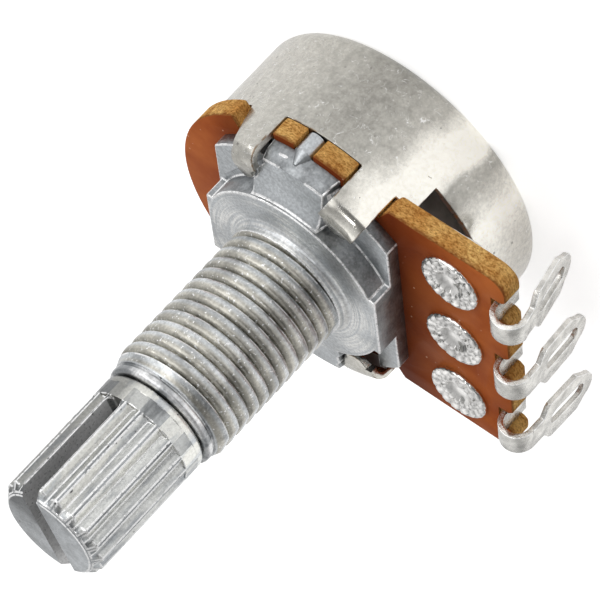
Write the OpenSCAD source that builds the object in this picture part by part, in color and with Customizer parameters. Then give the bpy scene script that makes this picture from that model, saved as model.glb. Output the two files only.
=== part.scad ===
// Rotary potentiometer with a threaded die-cast bushing, a split knurled shaft
// and three formed solder lugs.
// The origin is on the shaft axis, at the face that seats against a panel.
// +Z runs along the shaft to its knob end, and +X points to the solder lugs.

/* [Shaft] */
// Diameter over the teeth of the knob end
knob_d = 6; // [5.6:0.1:6.2]
// Length of the knob end
knob_len = 7.95; // [7:0.05:14]
// Gap between the knob end and the bushing
knob_gap = 0.05; // [0.05:0.01:0.2]
// Length of the plain collar behind the teeth
collar_len = 1.35; // [0.8:0.05:2]
// Rounding at the rear edge of the collar
collar_round = 0.3; // [0.1:0.05:0.5]
// Number of teeth, with one groove between each two
tooth_count = 18; // [12:1:20]
// Width of a groove between two teeth at the surface
groove_w = 0.7; // [0.4:0.05:0.8]
// Depth of a groove between two teeth
groove_depth = 0.34; // [0.2:0.02:0.4]
// Chamfer at the tip
tip_chamfer = 0.45; // [0.2:0.05:0.6]
// Width of the slot that splits the knob end
slot_w = 0.97; // [0.6:0.01:1.2]
// Length of the slot from the tip
slot_len = 6.6; // [5:0.1:6.8]
// Direction of the slot as the shaft rests, seen from the knob end
slot_turn = 110; // [90:1:130]
// Diameter of the shank that turns in the bushing
shank_d = 4.6; // [4:0.1:5]
// Length of the shank behind the thrust washer's front face
shank_tail = 0.7; // [0.5:0.1:0.8]
// Diameter of the tenon that carries the rotor
tenon_d = 3.6; // [3.2:0.1:3.8]
// Width over the two flats of the tenon
tenon_flats = 2.8; // [2.4:0.1:3]
// Diameter of the staked rear head
stake_d = 4.4; // [4.2:0.1:5]
// Height of the staked rear head
stake_len = 0.5; // [0.3:0.1:0.8]

/* [Bushing] */
// Outer diameter of the thread
thread_d = 6.86; // [6.8:0.02:7]
// Length of the bushing in front of the seat
bushing_len = 10.2; // [8:0.1:12]
// Diameter of the plain front end
pilot_d = 6.26; // [6:0.02:6.4]
// Length of the plain front end
pilot_len = 0.6; // [0.5:0.02:1.2]
// Chamfer at the mouth of the bushing
mouth_chamfer = 0.15; // [0.05:0.05:0.3]
// Fillet between the bushing and the seat
foot_fillet = 0.4; // [0.2:0.05:0.6]
// Clearance between the shank and its bore, on each side
shank_clearance = 0.04; // [0.03:0.01:0.08]

/* [Front plate] */
// Width of the ledge around the boss, which the tabs bend over
ledge_w = 1.97; // [1.8:0.01:2.2]
// Height of the boss above the flange
boss_h = 1.25; // [0.8:0.05:1.6]
// Width across the two wings of the boss
wing_span = 10.6; // [10.2:0.1:10.8]
// Width of each wing along its side
wing_w = 4.6; // [3:0.1:5]
// Thickness of the flange under the boss
flange_h = 0.75; // [0.5:0.05:1]
// Distance from the flange's rim to the inner face of the cover's tabs
flange_space = 0.46; // [0.4:0.02:0.8]
// Distance from the axis to the flat on the lug side
flange_right = 5.3; // [5.1:0.1:5.4]
// Distance from the axis to the flat on the far side
flange_left = 5.5; // [5.1:0.1:6]
// Distance from the inner face of the tabs to the outer wall of the anchor blocks, outwards
anchor_proud = 0.01; // [-0.2:0.01:0.02]
// Lean of that wall towards the axis at its front edge
anchor_lean = 0.3; // [0:0.01:0.3]
// Width of the upper anchor block at its foot
upper_anchor_w = 4.8; // [3.6:0.1:4.8]
// Depth from the seat to the front edge of the upper anchor block
upper_anchor_drop = 0.9; // [0.6:0.05:1]
// Width of the lower anchor block at its foot
lower_anchor_w = 5.4; // [4:0.1:5.4]
// Depth from the seat to the front edge of the lower anchor block
lower_anchor_drop = 0.35; // [0.2:0.05:0.6]
// Diameter of the half-round key that stands in the edge of the board
key_d = 1.04; // [0.8:0.02:1.2]
// Distance from the outer wall of the upper anchor block to the centre of the key
key_inset = 0.09; // [0.08:0.01:0.2]
// Sideways place of the key
key_x = -0.25; // [-0.4:0.05:0.4]
// Depth from the seat to the pointed top of the key
key_drop = 1.3; // [1.1:0.05:1.5]
// Length of the taper at the top of the key
key_taper = 0.7; // [0.4:0.05:0.9]
// Diameter of the rear spigot that centres the board
spigot_d = 6.2; // [5.8:0.1:6.4]
// Width of the hollows in the flange beside the lower anchor block
hollow_w = 1.25; // [1.1:0.05:1.4]
// Distance from the axis to the inner wall of those hollows
hollow_start = 3.91; // [3.8:0.01:4.2]
// Depth of the slope between the boss and the top of each anchor block
anchor_root = 0.9; // [0.6:0.1:1]
// Lean of the side walls of the anchor blocks, from the foot to the seat
anchor_side_lean = 0.45; // [0.3:0.05:0.6]

/* [Board] */
// Thickness of the phenolic board
board_t = 1.2; // [0.8:0.1:1.6]
// Width by which the round end of the board stands proud of the cover
board_proud = 0.34; // [0.2:0.02:0.6]
// Width by which the board stays inside the cover between the tabs
board_inset = 0.01; // [0:0.01:0.1]
// Distance from the outer lugs to the long sides of the board
board_side = 2.5; // [2.4:0.1:3]
// Distance from the legs of the lugs to the end of the board
board_lip = 0.65; // [0.5:0.05:0.8]
// Corner radius at the lug end
board_corner = 1; // [0.5:0.1:1.5]
// Clearance around the spigot and the key
fit_clearance = 0.06; // [0.03:0.01:0.1]
// Clearance around the tabs of the cover where they pass the board
tab_clearance = 0.15; // [0.1:0.01:0.2]
// Thickness of the printed track, the pads and the collector
print_t = 0.05; // [0.03:0.01:0.08]
// Space between the collector ring and the resistive track
track_space = 0.4; // [0.3:0.05:0.5]
// Width of the resistive track
track_w = 1.4; // [1.2:0.1:1.6]
// Opening of the resistive track on the lug side, in degrees
track_gap = 66; // [56:2:72]
// Space between the hole for the spigot and the collector ring
collector_space = 0.44; // [0.4:0.02:0.6]
// Width of the collector ring
collector_w = 0.9; // [0.6:0.1:1]
// Width of the tongue that joins the collector ring to the middle lug
collector_tongue_w = 1.4; // [1:0.1:2]
// Length of the silver pads between the track and the outer lugs
pad_len = 1; // [0.8:0.1:1.2]

/* [Cover] */
// Space around the finger of the rotor inside the cover
cover_space = 0.46; // [0.3:0.02:0.6]
// Wall of the cover
cover_t = 0.4; // [0.3:0.05:0.5]
// Depth of the cover behind the board
cover_depth = 5.85; // [5.5:0.05:9]
// Outer radius of the rear edge
cover_round = 1; // [0.6:0.1:1.5]
// Opening angle of the window on the lug side, in degrees
window_angle = 100; // [96:1:104]
// Height of the window from the rim
window_h = 1.85; // [1.5:0.05:2.2]
// Direction of the tabs beside the lugs, up and down from +X
near_tab_turn = 65.5; // [64:0.5:67]
// Width of the tabs beside the lugs, in degrees of the cover
near_tab_sweep = 15; // [12:1:16]
// Direction of the tabs on the far side, up and down from +X
far_tab_turn = 115; // [113:0.5:117]
// Width of the tabs on the far side, in degrees of the cover
far_tab_sweep = 17; // [14:1:18]
// Width that the outer edge of a far tab loses on its way up to the bend
far_tab_taper = 1; // [0.6:0.05:1.1]
// Outer radius of the bend of a tab
tab_bend = 0.9; // [0.6:0.05:1]
// Depth from the seat to the top of the bent upper tabs
upper_tab_drop = 0.25; // [0.1:0.05:0.3]
// Depth from the seat to the top of the bent lower tabs
lower_tab_drop = 0.6; // [0.3:0.05:0.7]
// Distance from the boss to the tips of the upper tabs
upper_tab_gap = 0.77; // [0.6:0.01:1.2]
// Distance from the boss to the tips of the lower tabs
lower_tab_gap = 0.87; // [0.6:0.01:1.2]
// Slope of the upper bent ends towards the plate, in degrees
upper_tab_slope = 12; // [0:1:14]
// Slope of the lower bent ends towards the plate, in degrees
lower_tab_slope = 2; // [0:1:14]
// Clearance around the tabs where they pass the anchor blocks
anchor_clearance = 0.08; // [0.05:0.01:0.15]
// Width of the tongue at the end of a tab beside the lugs
near_tongue_w = 1.5; // [1:0.1:1.8]
// Width of the tongue at the end of a tab on the far side
far_tongue_w = 1.2; // [1:0.1:1.8]
// Width of the stop that is folded in from the window's edge
stop_w = 2.4; // [1.6:0.1:3]
// Space between the stop and the rotor's disc
stop_space = 0.3; // [0.2:0.05:0.5]

/* [Lugs] */
// Distance between two lugs
lug_pitch = 5; // [4.8:0.1:5]
// Sheet thickness of the lugs
lug_t = 0.3; // [0.2:0.05:0.4]
// Width of a lug at its bend
neck_w = 1.4; // [1:0.1:1.5]
// Width of a lug at its eye
eye_w = 2.8; // [2.2:0.1:3]
// Width of a lug under its rivet
foot_w = 3.8; // [3.6:0.1:4]
// Distance from the inner edge of a lug to its rivet
foot_back = 1.3; // [1.2:0.1:1.5]
// Distance from a rivet to the leg that rises through the board's notch
leg_run = 2.6; // [2.4:0.1:2.8]
// Outer radius of the bend over the end of the board
hook_r = 0.98; // [0.9:0.02:1.1]
// Depth from the seat to the top of the bend
hook_drop = 1; // [0.6:0.05:1.2]
// Depth from the seat to the shoulders of the eye
shoulder_drop = 3.15; // [2.8:0.05:3.4]
// Depth from the seat to the tip of the eye
eye_tip_drop = 6.65; // [6.5:0.05:7.4]
// Length of the tapered tip of the eye
eye_taper = 1.2; // [1:0.1:1.6]
// Width of the slot in the eye
eye_slot_w = 0.95; // [0.7:0.05:1.2]
// Depth from the seat to the near end of the slot
eye_slot_drop = 3.35; // [3.3:0.05:3.5]
// Length of the slot in the eye
eye_slot_len = 2.6; // [2:0.05:2.8]
// Lean of the first lug towards the cover, in degrees
first_lug_lean = 11.5; // [0:0.5:12]
// Lean of the middle lug towards the cover, in degrees
middle_lug_lean = 3; // [0:0.5:6]
// Turn of the eyes in their own plane, away from the first lug's side, in degrees
eye_turn = 3; // [0:0.5:5]
// Radius of the round tip of the eye
eye_tip_r = 0.95; // [0.6:0.05:1]
// Height of the slope from the neck to the shoulder of the eye
shoulder_rise = 0.35; // [0.2:0.05:0.5]
// Width of the notch in the board for the neck, beyond the neck on each side
notch_clearance = 0.1; // [0.05:0.01:0.2]
// Width by which a notch opens at its mouth, on each side
notch_flare = 0.25; // [0.1:0.05:0.4]
// Diameter of the rivet's shank
rivet_d = 2.2; // [1.8:0.1:2.4]
// Diameter of the star head of a rivet
rivet_head_d = 3.4; // [3:0.1:3.6]
// Height of the star head of a rivet
rivet_head_h = 0.4; // [0.3:0.05:0.5]
// Diameter of the dimple in a rivet's star head
rivet_dimple_d = 1.1; // [0.8:0.1:1.4]
// Diameter of the rear head of a rivet
rivet_rear_d = 3; // [2.6:0.1:3.4]
// Height of the rear head of a rivet
rivet_rear_h = 0.3; // [0.2:0.05:0.4]
// Number of creases in the star head
crease_count = 8; // [6:1:10]

/* [Rotor] */
// Turning range of the shaft, in degrees
travel = 300; // [270:5:300]
// Turn of the shaft at rest from the middle of its range, in degrees
rest_turn = 20; // [0:1:30]
// Thickness of the thrust washer
washer_t = 0.3; // [0.2:0.05:0.4]
// Diameter of the thrust washer
washer_d = 6.4; // [6:0.1:6.6]
// Running gap on each face of the thrust washer
washer_gap = 0.05; // [0.03:0.01:0.1]
// Diameter of the rotor's hub
hub_d = 6.4; // [6:0.1:6.6]
// Height of the rotor's hub in front of its disc
hub_h = 0.9; // [0.8:0.05:1]
// Thickness of the rotor's disc
disc_t = 2.2; // [1.8:0.1:2.6]
// Length over which the rotor's finger laps the stop
finger_lap = 0.8; // [0.6:0.05:1]
// Depth of the rotor's finger behind the stop
finger_back = 0.8; // [0.5:0.1:1]
// Depth of the rotor's finger in front of the stop
finger_front = 0.5; // [0.3:0.1:0.8]
// Angle left between the stop and the finger at each end of the range
stop_gap_turn = 1; // [0.5:0.5:2]
// Thickness of the contact spring
spring_t = 0.15; // [0.1:0.01:0.2]
// Width of the fingers of the contact spring
finger_w = 0.9; // [0.6:0.1:1]
// Gap between the contact spring and the printed paths
contact_gap = 0.03; // [0.02:0.01:0.05]

/* [Hidden] */

// Levels along the axis, from the seat backwards
flange_z = -boss_h;
board_z = flange_z - flange_h;
board_rear = board_z - board_t;
cover_rear = board_rear - cover_depth;
window_z = board_rear - window_h;
washer_z = board_rear - washer_gap;
hub_z = washer_z - washer_t - washer_gap;
disc_z = hub_z - hub_h;
disc_rear = disc_z - disc_t;
knob_z = bushing_len + knob_gap;
tip_z = knob_z + knob_len;

// Radii, from the axis outwards
knob_r = knob_d / 2;
shank_r = shank_d / 2;
bore_r = shank_r + shank_clearance;
thread_r = thread_d / 2;
pilot_r = pilot_d / 2;
collector_inner_r = spigot_d / 2 + fit_clearance + collector_space;
track_inner_r = collector_inner_r + collector_w + track_space;
track_outer_r = track_inner_r + track_w;
disc_r = track_outer_r;
stop_reach = disc_r + stop_space;
finger_reach = stop_reach + finger_lap;
cover_inner_r = finger_reach + cover_space;
cover_r = cover_inner_r + cover_t;
flange_r = cover_inner_r - flange_space;
boss_r = flange_r - ledge_w;
anchor_reach = cover_inner_r + anchor_proud;
key_reach = anchor_reach - key_inset;
upper_tab_tip = boss_r + upper_tab_gap;
lower_tab_tip = boss_r + lower_tab_gap;
board_r = cover_r + board_proud;
board_waist_r = cover_r - board_inset;
board_w = 2 * (lug_pitch + board_side);

// Places along a lug, and the angles of the stop
lug_inner = track_outer_r + pad_len;
rivet_reach = lug_inner + foot_back;
leg_reach = rivet_reach + leg_run;
board_reach = leg_reach + board_lip;
stop_half_turn = asin(stop_w / 2 / stop_reach);
finger_half_turn = 180 - travel / 2 - stop_half_turn - stop_gap_turn;
lug_places = [-lug_pitch, 0, lug_pitch];
hook_x = leg_reach + hook_r;
hook_z = -hook_drop - hook_r;
key_slot_w = key_d + 2 * fit_clearance;
overlap = 0.02;

// Points on an arc, both ends included
function arc(centre, r, from, to, steps) = [
    for (i = [0:steps])
        let (turn = from + (to - from) * i / steps)
            centre + r * [cos(turn), sin(turn)]
];

// A wedge of the plane between two directions, out to a radius
module sector(r, from, to) {
    polygon(concat([[0, 0]], arc([0, 0], r, from, to, 6)));
}

// A solid turned from an outline in radius and height
module turned(points) {
    rotate_extrude($fn = 96)
        polygon(points);
}

// A slot with round ends, from one point to another
module round_slot(from, to, w) {
    run = to - from;
    translate(from)
        rotate(atan2(run[1], run[0])) {
            translate([0, -w / 2])
                square([norm(run), w]);
            circle(d = w, $fn = 32);
            translate([norm(run), 0])
                circle(d = w, $fn = 32);
        }
}

// The threaded barrel, with the thread left plain at its outer diameter
module bushing_barrel() {
    step = thread_r - pilot_r;
    foot = concat([[0, flange_z], [thread_r + foot_fillet, flange_z]],
        arc([thread_r + foot_fillet, foot_fillet], foot_fillet, 270, 180, 6));
    front = [
        [thread_r, bushing_len - pilot_len - step],
        [pilot_r, bushing_len - pilot_len],
        [pilot_r, bushing_len - mouth_chamfer],
        [pilot_r - mouth_chamfer, bushing_len],
        [0, bushing_len]
    ];
    turned(concat(foot, front));
}

// The boss is round, with a flat-sided wing on each side
module boss() {
    translate([0, 0, flange_z])
        linear_extrude(boss_h)
            intersection() {
                union() {
                    circle(r = boss_r, $fn = 96);
                    square([wing_span, wing_w], center = true);
                }
                square([wing_span, 2 * boss_r + 1], center = true);
            }
}

// The flange under the boss, with two flats and a hollow beside each lower tab
module flange() {
    hollow_x = lower_anchor_w / 2 + (hollow_w - overlap) / 2;
    translate([0, 0, board_z])
        linear_extrude(flange_h + overlap)
            difference() {
                intersection() {
                    circle(r = flange_r, $fn = 96);
                    translate([-flange_left, -flange_r])
                        square([flange_left + flange_right, 2 * flange_r]);
                }
                for (side = [-1, 1])
                    translate([side * hollow_x, -flange_r - hollow_start])
                        square([hollow_w + overlap, 2 * flange_r], center = true);
            }
}

// An anchor block slopes from the boss to its round outer wall, which leans in above its foot.
// The tabs of the cover pass beside it, and its side walls follow them.
module anchor_block(w, drop) {
    root_r = boss_r - anchor_root;
    fold_z = (board_z - drop) / 2;
    front_r = anchor_reach - anchor_lean;
    intersection() {
        turned([
            [root_r, board_z], [anchor_reach, board_z], [anchor_reach - anchor_lean * 0.15, fold_z],
            [front_r, -drop], [front_r - anchor_root, -drop * 0.85], [boss_r + 0.3, -drop * 0.5],
            [boss_r - 0.05, -drop * 0.2], [root_r, -drop * 0.2]
        ]);
        rotate([90, 0, 180])
            linear_extrude(anchor_reach + 1)
                polygon([
                    [-w / 2, board_z], [w / 2, board_z],
                    [w / 2 - anchor_side_lean, 0], [anchor_side_lean - w / 2, 0]
                ]);
    }
}

// The two anchor blocks, less the room for the tabs
module anchor_blocks() {
    wider = 2 * anchor_clearance / cover_r * 180 / PI;
    difference() {
        union() {
            rotate(3)
                anchor_block(upper_anchor_w, upper_anchor_drop);
            rotate(180)
                anchor_block(lower_anchor_w, lower_anchor_drop);
        }
        translate([0, 0, board_z])
            linear_extrude(-board_z + 1)
                for (side = [1, -1]) {
                    tab_plan(side * near_tab_turn, near_tab_sweep + wider,
                        upper_tab_tip - anchor_clearance, near_tongue_w + 2 * anchor_clearance);
                    tab_plan(side * far_tab_turn, far_tab_sweep + wider,
                        upper_tab_tip - anchor_clearance, far_tongue_w + 2 * anchor_clearance);
                }
    }
}

// The half-round key on the upper anchor block, which runs back through the edge of the board
module board_key() {
    key_r = key_d / 2;
    key_rear = board_rear + 0.1;
    key_shoulder = -key_drop - key_taper;
    translate([key_x, key_reach, key_rear])
        cylinder(r = key_r, h = key_shoulder - key_rear, $fn = 32);
    translate([key_x, key_reach - overlap, key_shoulder - overlap])
        cylinder(r1 = key_r, r2 = key_r * 0.2, h = key_taper, $fn = 32);
}

module front_plate() {
    color([0.66, 0.68, 0.70])
        difference() {
            union() {
                bushing_barrel();
                boss();
                flange();
                anchor_blocks();
                board_key();
                translate([0, 0, board_rear])
                    cylinder(d = spigot_d, h = board_t + overlap, $fn = 96);
            }
            translate([0, 0, board_rear - 1])
                cylinder(r = bore_r, h = bushing_len - board_rear + 2, $fn = 96);
        }
}

// The points of a bent tab in radius and height, from its outer foot round the bend and back
function bent_tab(drop, tip, tab_slope) =
    let (
        centre = [cover_r - tab_bend, -drop - tab_bend],
        turn = 90 + tab_slope,
        outer = arc(centre, tab_bend, 0, turn, 8),
        inner = arc(centre, tab_bend - cover_t, turn, 0, 8),
        slope = [-cos(tab_slope), -sin(tab_slope)],
        run = (outer[8][0] - tip) / cos(tab_slope)
    )
    concat(outer, [outer[8] + run * slope, inner[0] + run * slope], inner);

// The plan of a tab: as wide as its sweep at the wall, then narrowed to a tongue with a round tip
module tab_plan(turn, sweep, tip, tongue_w) {
    reach = cover_r + 1;
    half_w = cover_r * sin(sweep / 2);
    shoulder = cover_r - tab_bend * 1.2;
    tongue_r = tongue_w / 2;
    rotate(turn)
        polygon(concat(
            [[reach, half_w], [shoulder, half_w]],
            arc([tip + tongue_r, 0], tongue_r, 90, 270, 8),
            [[shoulder, -half_w], [reach, -half_w]]
        ));
}

// What a far tab loses along its outer edge, from the rim up to the bend
module far_tab_trim(side) {
    half_w = cover_r * sin(far_tab_sweep / 2);
    bend_z = -upper_tab_drop - tab_bend / 2;
    rotate(side * far_tab_turn)
        mirror([0, side < 0 ? 1 : 0])
            translate([cover_r / 2, 0, 0])
                rotate([90, 0, 90])
                    linear_extrude(cover_r)
                        polygon([
                            [half_w, board_rear], [half_w - far_tab_taper, bend_z],
                            [half_w - far_tab_taper, 1], [half_w + 1, 1], [half_w + 1, board_rear]
                        ]);
}

// The drawn cup with its upper tabs, which are left standing where the rest of the rim is cut away
module cover_cup() {
    inner_round = cover_round - cover_t;
    inner_floor = cover_rear + cover_t;
    stub_z = -lower_tab_drop - tab_bend;
    reach = cover_r + 2;
    difference() {
        turned(concat(
            [[0, cover_rear]],
            arc([cover_r - cover_round, cover_rear + cover_round], cover_round, 270, 360, 8),
            bent_tab(upper_tab_drop, upper_tab_tip, upper_tab_slope),
            arc([cover_inner_r - inner_round, inner_floor + inner_round], inner_round, 360, 270, 6),
            [[0, inner_floor]]
        ));
        translate([0, 0, board_rear])
            linear_extrude(-board_rear + 1)
                difference() {
                    square(2 * reach, center = true);
                    for (side = [1, -1]) {
                        tab_plan(side * near_tab_turn, near_tab_sweep, upper_tab_tip, near_tongue_w);
                        tab_plan(side * far_tab_turn, far_tab_sweep, upper_tab_tip, far_tongue_w);
                    }
                }
        translate([-reach, -reach, stub_z])
            cube([2 * reach, reach, reach]);
        translate([0, 0, window_z])
            linear_extrude(window_h + 1)
                sector(cover_r * 1.4, -window_angle / 2, window_angle / 2);
    }
}

// The bent end of a lower tab, which stands on its stub
module lower_tab_end(turn, sweep, tongue_w) {
    intersection() {
        turned(bent_tab(lower_tab_drop, lower_tab_tip, lower_tab_slope));
        translate([0, 0, board_rear])
            linear_extrude(-board_rear)
                tab_plan(turn, sweep, lower_tab_tip, tongue_w);
    }
}

module cover_can() {
    color([0.80, 0.79, 0.76]) {
        difference() {
            union() {
                cover_cup();
                lower_tab_end(-near_tab_turn, near_tab_sweep, near_tongue_w);
                lower_tab_end(-far_tab_turn, far_tab_sweep, far_tongue_w);
            }
            far_tab_trim(1);
            far_tab_trim(-1);
        }
        translate([stop_reach, -stop_w / 2, window_z - cover_t])
            cube([cover_r - cover_t / 2 - stop_reach, stop_w, cover_t]);
    }
}

// The outline of the board: round behind the axis, square with round corners at the lugs
module board_outline() {
    corner_x = board_reach - board_corner;
    corner_y = board_w / 2 - board_corner;
    step_x = board_waist_r * cos(far_tab_turn);
    circle(r = board_waist_r, $fn = 96);
    intersection() {
        circle(r = board_r, $fn = 96);
        translate([-board_r, -board_r])
            square([board_r + step_x, 2 * board_r]);
    }
    polygon(concat(
        [[0, board_w / 2], [0, -board_w / 2]],
        arc([corner_x, -corner_y], board_corner, -90, 0, 6),
        arc([corner_x, corner_y], board_corner, 0, 90, 6)
    ));
}

// The room that a tab needs where it passes the board
module tab_notch(turn, sweep) {
    clear_turn = tab_clearance / cover_r * 180 / PI;
    difference() {
        sector(2 * board_r, turn - sweep / 2 - clear_turn, turn + sweep / 2 + clear_turn);
        circle(r = cover_inner_r - tab_clearance, $fn = 96);
    }
}

// The notch in the end of the board that a lug's neck rises through
module lug_notch() {
    inner = neck_w / 2 + notch_clearance;
    mouth = inner + notch_flare;
    deep = leg_reach - 2 * notch_clearance;
    polygon([
        [deep, -inner], [board_reach - notch_flare, -inner], [board_reach + overlap, -mouth],
        [board_reach + overlap, mouth], [board_reach - notch_flare, inner], [deep, inner]
    ]);
}

module track_board() {
    color([0.66, 0.30, 0.13])
        translate([0, 0, board_rear])
            linear_extrude(board_t)
                difference() {
                    board_outline();
                    circle(d = spigot_d + 2 * fit_clearance, $fn = 96);
                    for (side = [-1, 1]) {
                        tab_notch(side * near_tab_turn, near_tab_sweep);
                        tab_notch(side * far_tab_turn, far_tab_sweep);
                    }
                    translate([key_x, key_reach])
                        circle(d = key_slot_w, $fn = 32);
                    translate([key_x - key_slot_w / 2, key_reach])
                        square([key_slot_w, board_r]);
                    for (y = lug_places)
                        translate([0, y]) {
                            lug_notch();
                            translate([rivet_reach, 0])
                                circle(d = rivet_d, $fn = 48);
                        }
                }
}

// The horseshoe of resistive ink on the rear face of the board
module resistive_track() {
    color([0.12, 0.12, 0.13])
        translate([0, 0, board_rear - print_t])
            rotate(track_gap / 2)
                rotate_extrude(angle = 360 - track_gap, $fn = 96)
                    translate([track_inner_r, 0])
                        square([track_w, print_t]);
}

// A silver pad runs from one end of the track to the foot of an outer lug
module end_pad(side) {
    turn = track_gap / 2;
    inner_end = track_inner_r * [cos(turn), sin(turn)];
    outer_end = track_outer_r * [cos(turn), sin(turn)];
    color([0.75, 0.75, 0.74])
        translate([0, 0, board_rear - print_t])
            linear_extrude(print_t)
                mirror([0, side < 0 ? 1 : 0])
                    polygon([
                        inner_end, [lug_inner, lug_pitch - track_w],
                        [lug_inner, lug_pitch + track_w / 4], outer_end
                    ]);
}

// The ring that the inner spring fingers run on, joined to the middle lug
module collector_ring() {
    color([0.78, 0.77, 0.72])
        translate([0, 0, board_rear - print_t])
            linear_extrude(print_t)
                difference() {
                    union() {
                        circle(r = collector_inner_r + collector_w, $fn = 96);
                        translate([0, -collector_tongue_w / 2])
                            square([lug_inner, collector_tongue_w]);
                    }
                    circle(r = collector_inner_r, $fn = 96);
                }
}

// The foot of a lug lies on the rear face of the board, under its rivet
module lug_foot() {
    foot_r = foot_w / 2;
    corner = 0.4;
    neck_start = leg_reach - 0.6;
    translate([0, 0, board_rear - lug_t])
        linear_extrude(lug_t)
            difference() {
                polygon(concat(
                    arc([lug_inner + corner, corner - foot_r], corner, 180, 270, 4),
                    arc([neck_start - corner, corner - foot_r], corner, 270, 360, 4),
                    [[neck_start, -neck_w / 2], [leg_reach + lug_t, -neck_w / 2],
                     [leg_reach + lug_t, neck_w / 2], [neck_start, neck_w / 2]],
                    arc([neck_start - corner, foot_r - corner], corner, 0, 90, 4),
                    arc([lug_inner + corner, foot_r - corner], corner, 90, 180, 4)
                ));
                translate([rivet_reach, 0])
                    circle(d = rivet_d, $fn = 48);
            }
}

// The leg rises through the notch and bends over the end of the board
module lug_hook() {
    inner = hook_r - lug_t;
    translate([leg_reach, -neck_w / 2, board_rear - lug_t])
        cube([lug_t, neck_w, hook_z - board_rear + lug_t]);
    translate([hook_x, neck_w / 2, hook_z])
        rotate([90, 0, 0])
            half_ring(hook_r, inner, neck_w);
}

module half_ring(outer, inner, w) {
    linear_extrude(w)
        difference() {
            circle(r = outer, $fn = 64);
            circle(r = inner, $fn = 64);
            translate([-outer - 1, -outer - 1])
                square([2 * outer + 2, outer + 1]);
        }
}

// The outer leg widens to an eye with a long slot and a tapered round tip
module lug_eye() {
    half_neck = neck_w / 2;
    half_eye = eye_w / 2;
    shoulder = -shoulder_drop;
    rise = shoulder + shoulder_rise;
    taper_z = -eye_tip_drop + eye_taper;
    leg_x = hook_x + hook_r - lug_t;
    slot_r = eye_slot_w / 2;
    slot_top = [0, -eye_slot_drop - slot_r];
    slot_foot = [0, slot_r - eye_slot_drop - eye_slot_len];
    translate([leg_x + lug_t, 0, 0])
        rotate([90, 0, -90])
            linear_extrude(lug_t)
                difference() {
                    polygon(concat(
                        [[-half_neck, hook_z], [-half_neck, rise], [-half_eye + 0.15, shoulder],
                         [-half_eye, shoulder - 0.2], [-half_eye, taper_z]],
                        arc([0, -eye_tip_drop + eye_tip_r], eye_tip_r, 200, 340, 8),
                        [[half_eye, taper_z], [half_eye, shoulder - 0.2], [half_eye - 0.15, shoulder],
                         [half_neck, rise], [half_neck, hook_z]]
                    ));
                    round_slot(slot_top, slot_foot, eye_slot_w);
                }
}

module solder_lug(y, lean) {
    pivot = [hook_x + hook_r - lug_t / 2, 0, hook_z];
    color([0.82, 0.81, 0.79])
        translate([0, y, 0]) {
            lug_foot();
            lug_hook();
            translate(pivot)
                rotate([-eye_turn, lean, 0])
                    translate(-pivot)
                        lug_eye();
        }
}

// A tubular rivet is rolled over the board in a creased star
module lug_rivet(y) {
    shank = rivet_d / 2;
    head = rivet_head_d / 2;
    dimple = rivet_dimple_d / 2;
    rear = rivet_rear_d / 2;
    rear_z = board_rear - lug_t;
    rear_round = 0.15;
    head_round = 0.2;
    crease = 0.22;
    color([0.84, 0.84, 0.83])
        translate([rivet_reach, y, 0])
            difference() {
                turned(concat(
                    [[0, rear_z - rivet_rear_h], [rear - rear_round, rear_z - rivet_rear_h]],
                    [[rear, rear_z - rear_round], [rear, rear_z], [shank, rear_z]],
                    [[shank, board_z], [head, board_z]],
                    arc([head - head_round, board_z + head_round], head_round, 0, 60, 3),
                    [[(head + dimple) / 2, board_z + rivet_head_h], [dimple, board_z + rivet_head_h * 0.7],
                     [0, board_z + rivet_head_h * 0.25]]
                ));
                for (i = [0:crease_count - 1])
                    rotate((i + 0.5) * 360 / crease_count)
                        translate([dimple + rear_round, 0, board_z + rivet_head_h + crease * 0.35])
                            rotate([45, 8, 0])
                                translate([0, -crease / 2, -crease / 2])
                                    cube([head, crease, crease]);
            }
}

// One groove between two teeth, open at the tip
module tooth_groove() {
    depth_r = knob_r - groove_depth;
    out = 0.2;
    half_w = groove_w / 2 * (1 + out / groove_depth);
    translate([0, 0, knob_z + collar_len])
        linear_extrude(knob_len)
            polygon([[depth_r, 0], [knob_r + out, -half_w], [knob_r + out, half_w]]);
}

module shaft() {
    shank_rear = hub_z - shank_tail + washer_gap;
    slot_z = tip_z - slot_len + slot_w / 2;
    color([0.72, 0.72, 0.71])
        rotate(slot_turn - 90)
            difference() {
                union() {
                    turned(concat(
                        [[0, shank_rear], [shank_r, shank_rear], [shank_r, knob_z]],
                        arc([knob_r - collar_round, knob_z + collar_round], collar_round, 270, 360, 4),
                        [[knob_r, tip_z - tip_chamfer], [knob_r - tip_chamfer, tip_z], [0, tip_z]]
                    ));
                    translate([0, 0, disc_rear])
                        linear_extrude(shank_rear - disc_rear)
                            tenon_section(0);
                    turned([
                        [0, disc_rear - stake_len], [stake_d / 2 - 0.3, disc_rear - stake_len],
                        [stake_d / 2, disc_rear - stake_len / 2], [stake_d / 2, disc_rear], [0, disc_rear]
                    ]);
                }
                for (i = [0:tooth_count - 1])
                    rotate(90 + i * 360 / tooth_count)
                        tooth_groove();
                translate([-slot_w / 2, -knob_d, slot_z])
                    cube([slot_w, 2 * knob_d, knob_len]);
                translate([0, knob_d, slot_z])
                    rotate([90, 0, 0])
                        cylinder(d = slot_w, h = 2 * knob_d, $fn = 32);
            }
}

// The tenon has two flats, and the rotor's hole has the same section
module tenon_section(clearance) {
    intersection() {
        circle(d = tenon_d + 2 * clearance, $fn = 64);
        square([tenon_d + 1, tenon_flats + 2 * clearance], center = true);
    }
}

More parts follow.
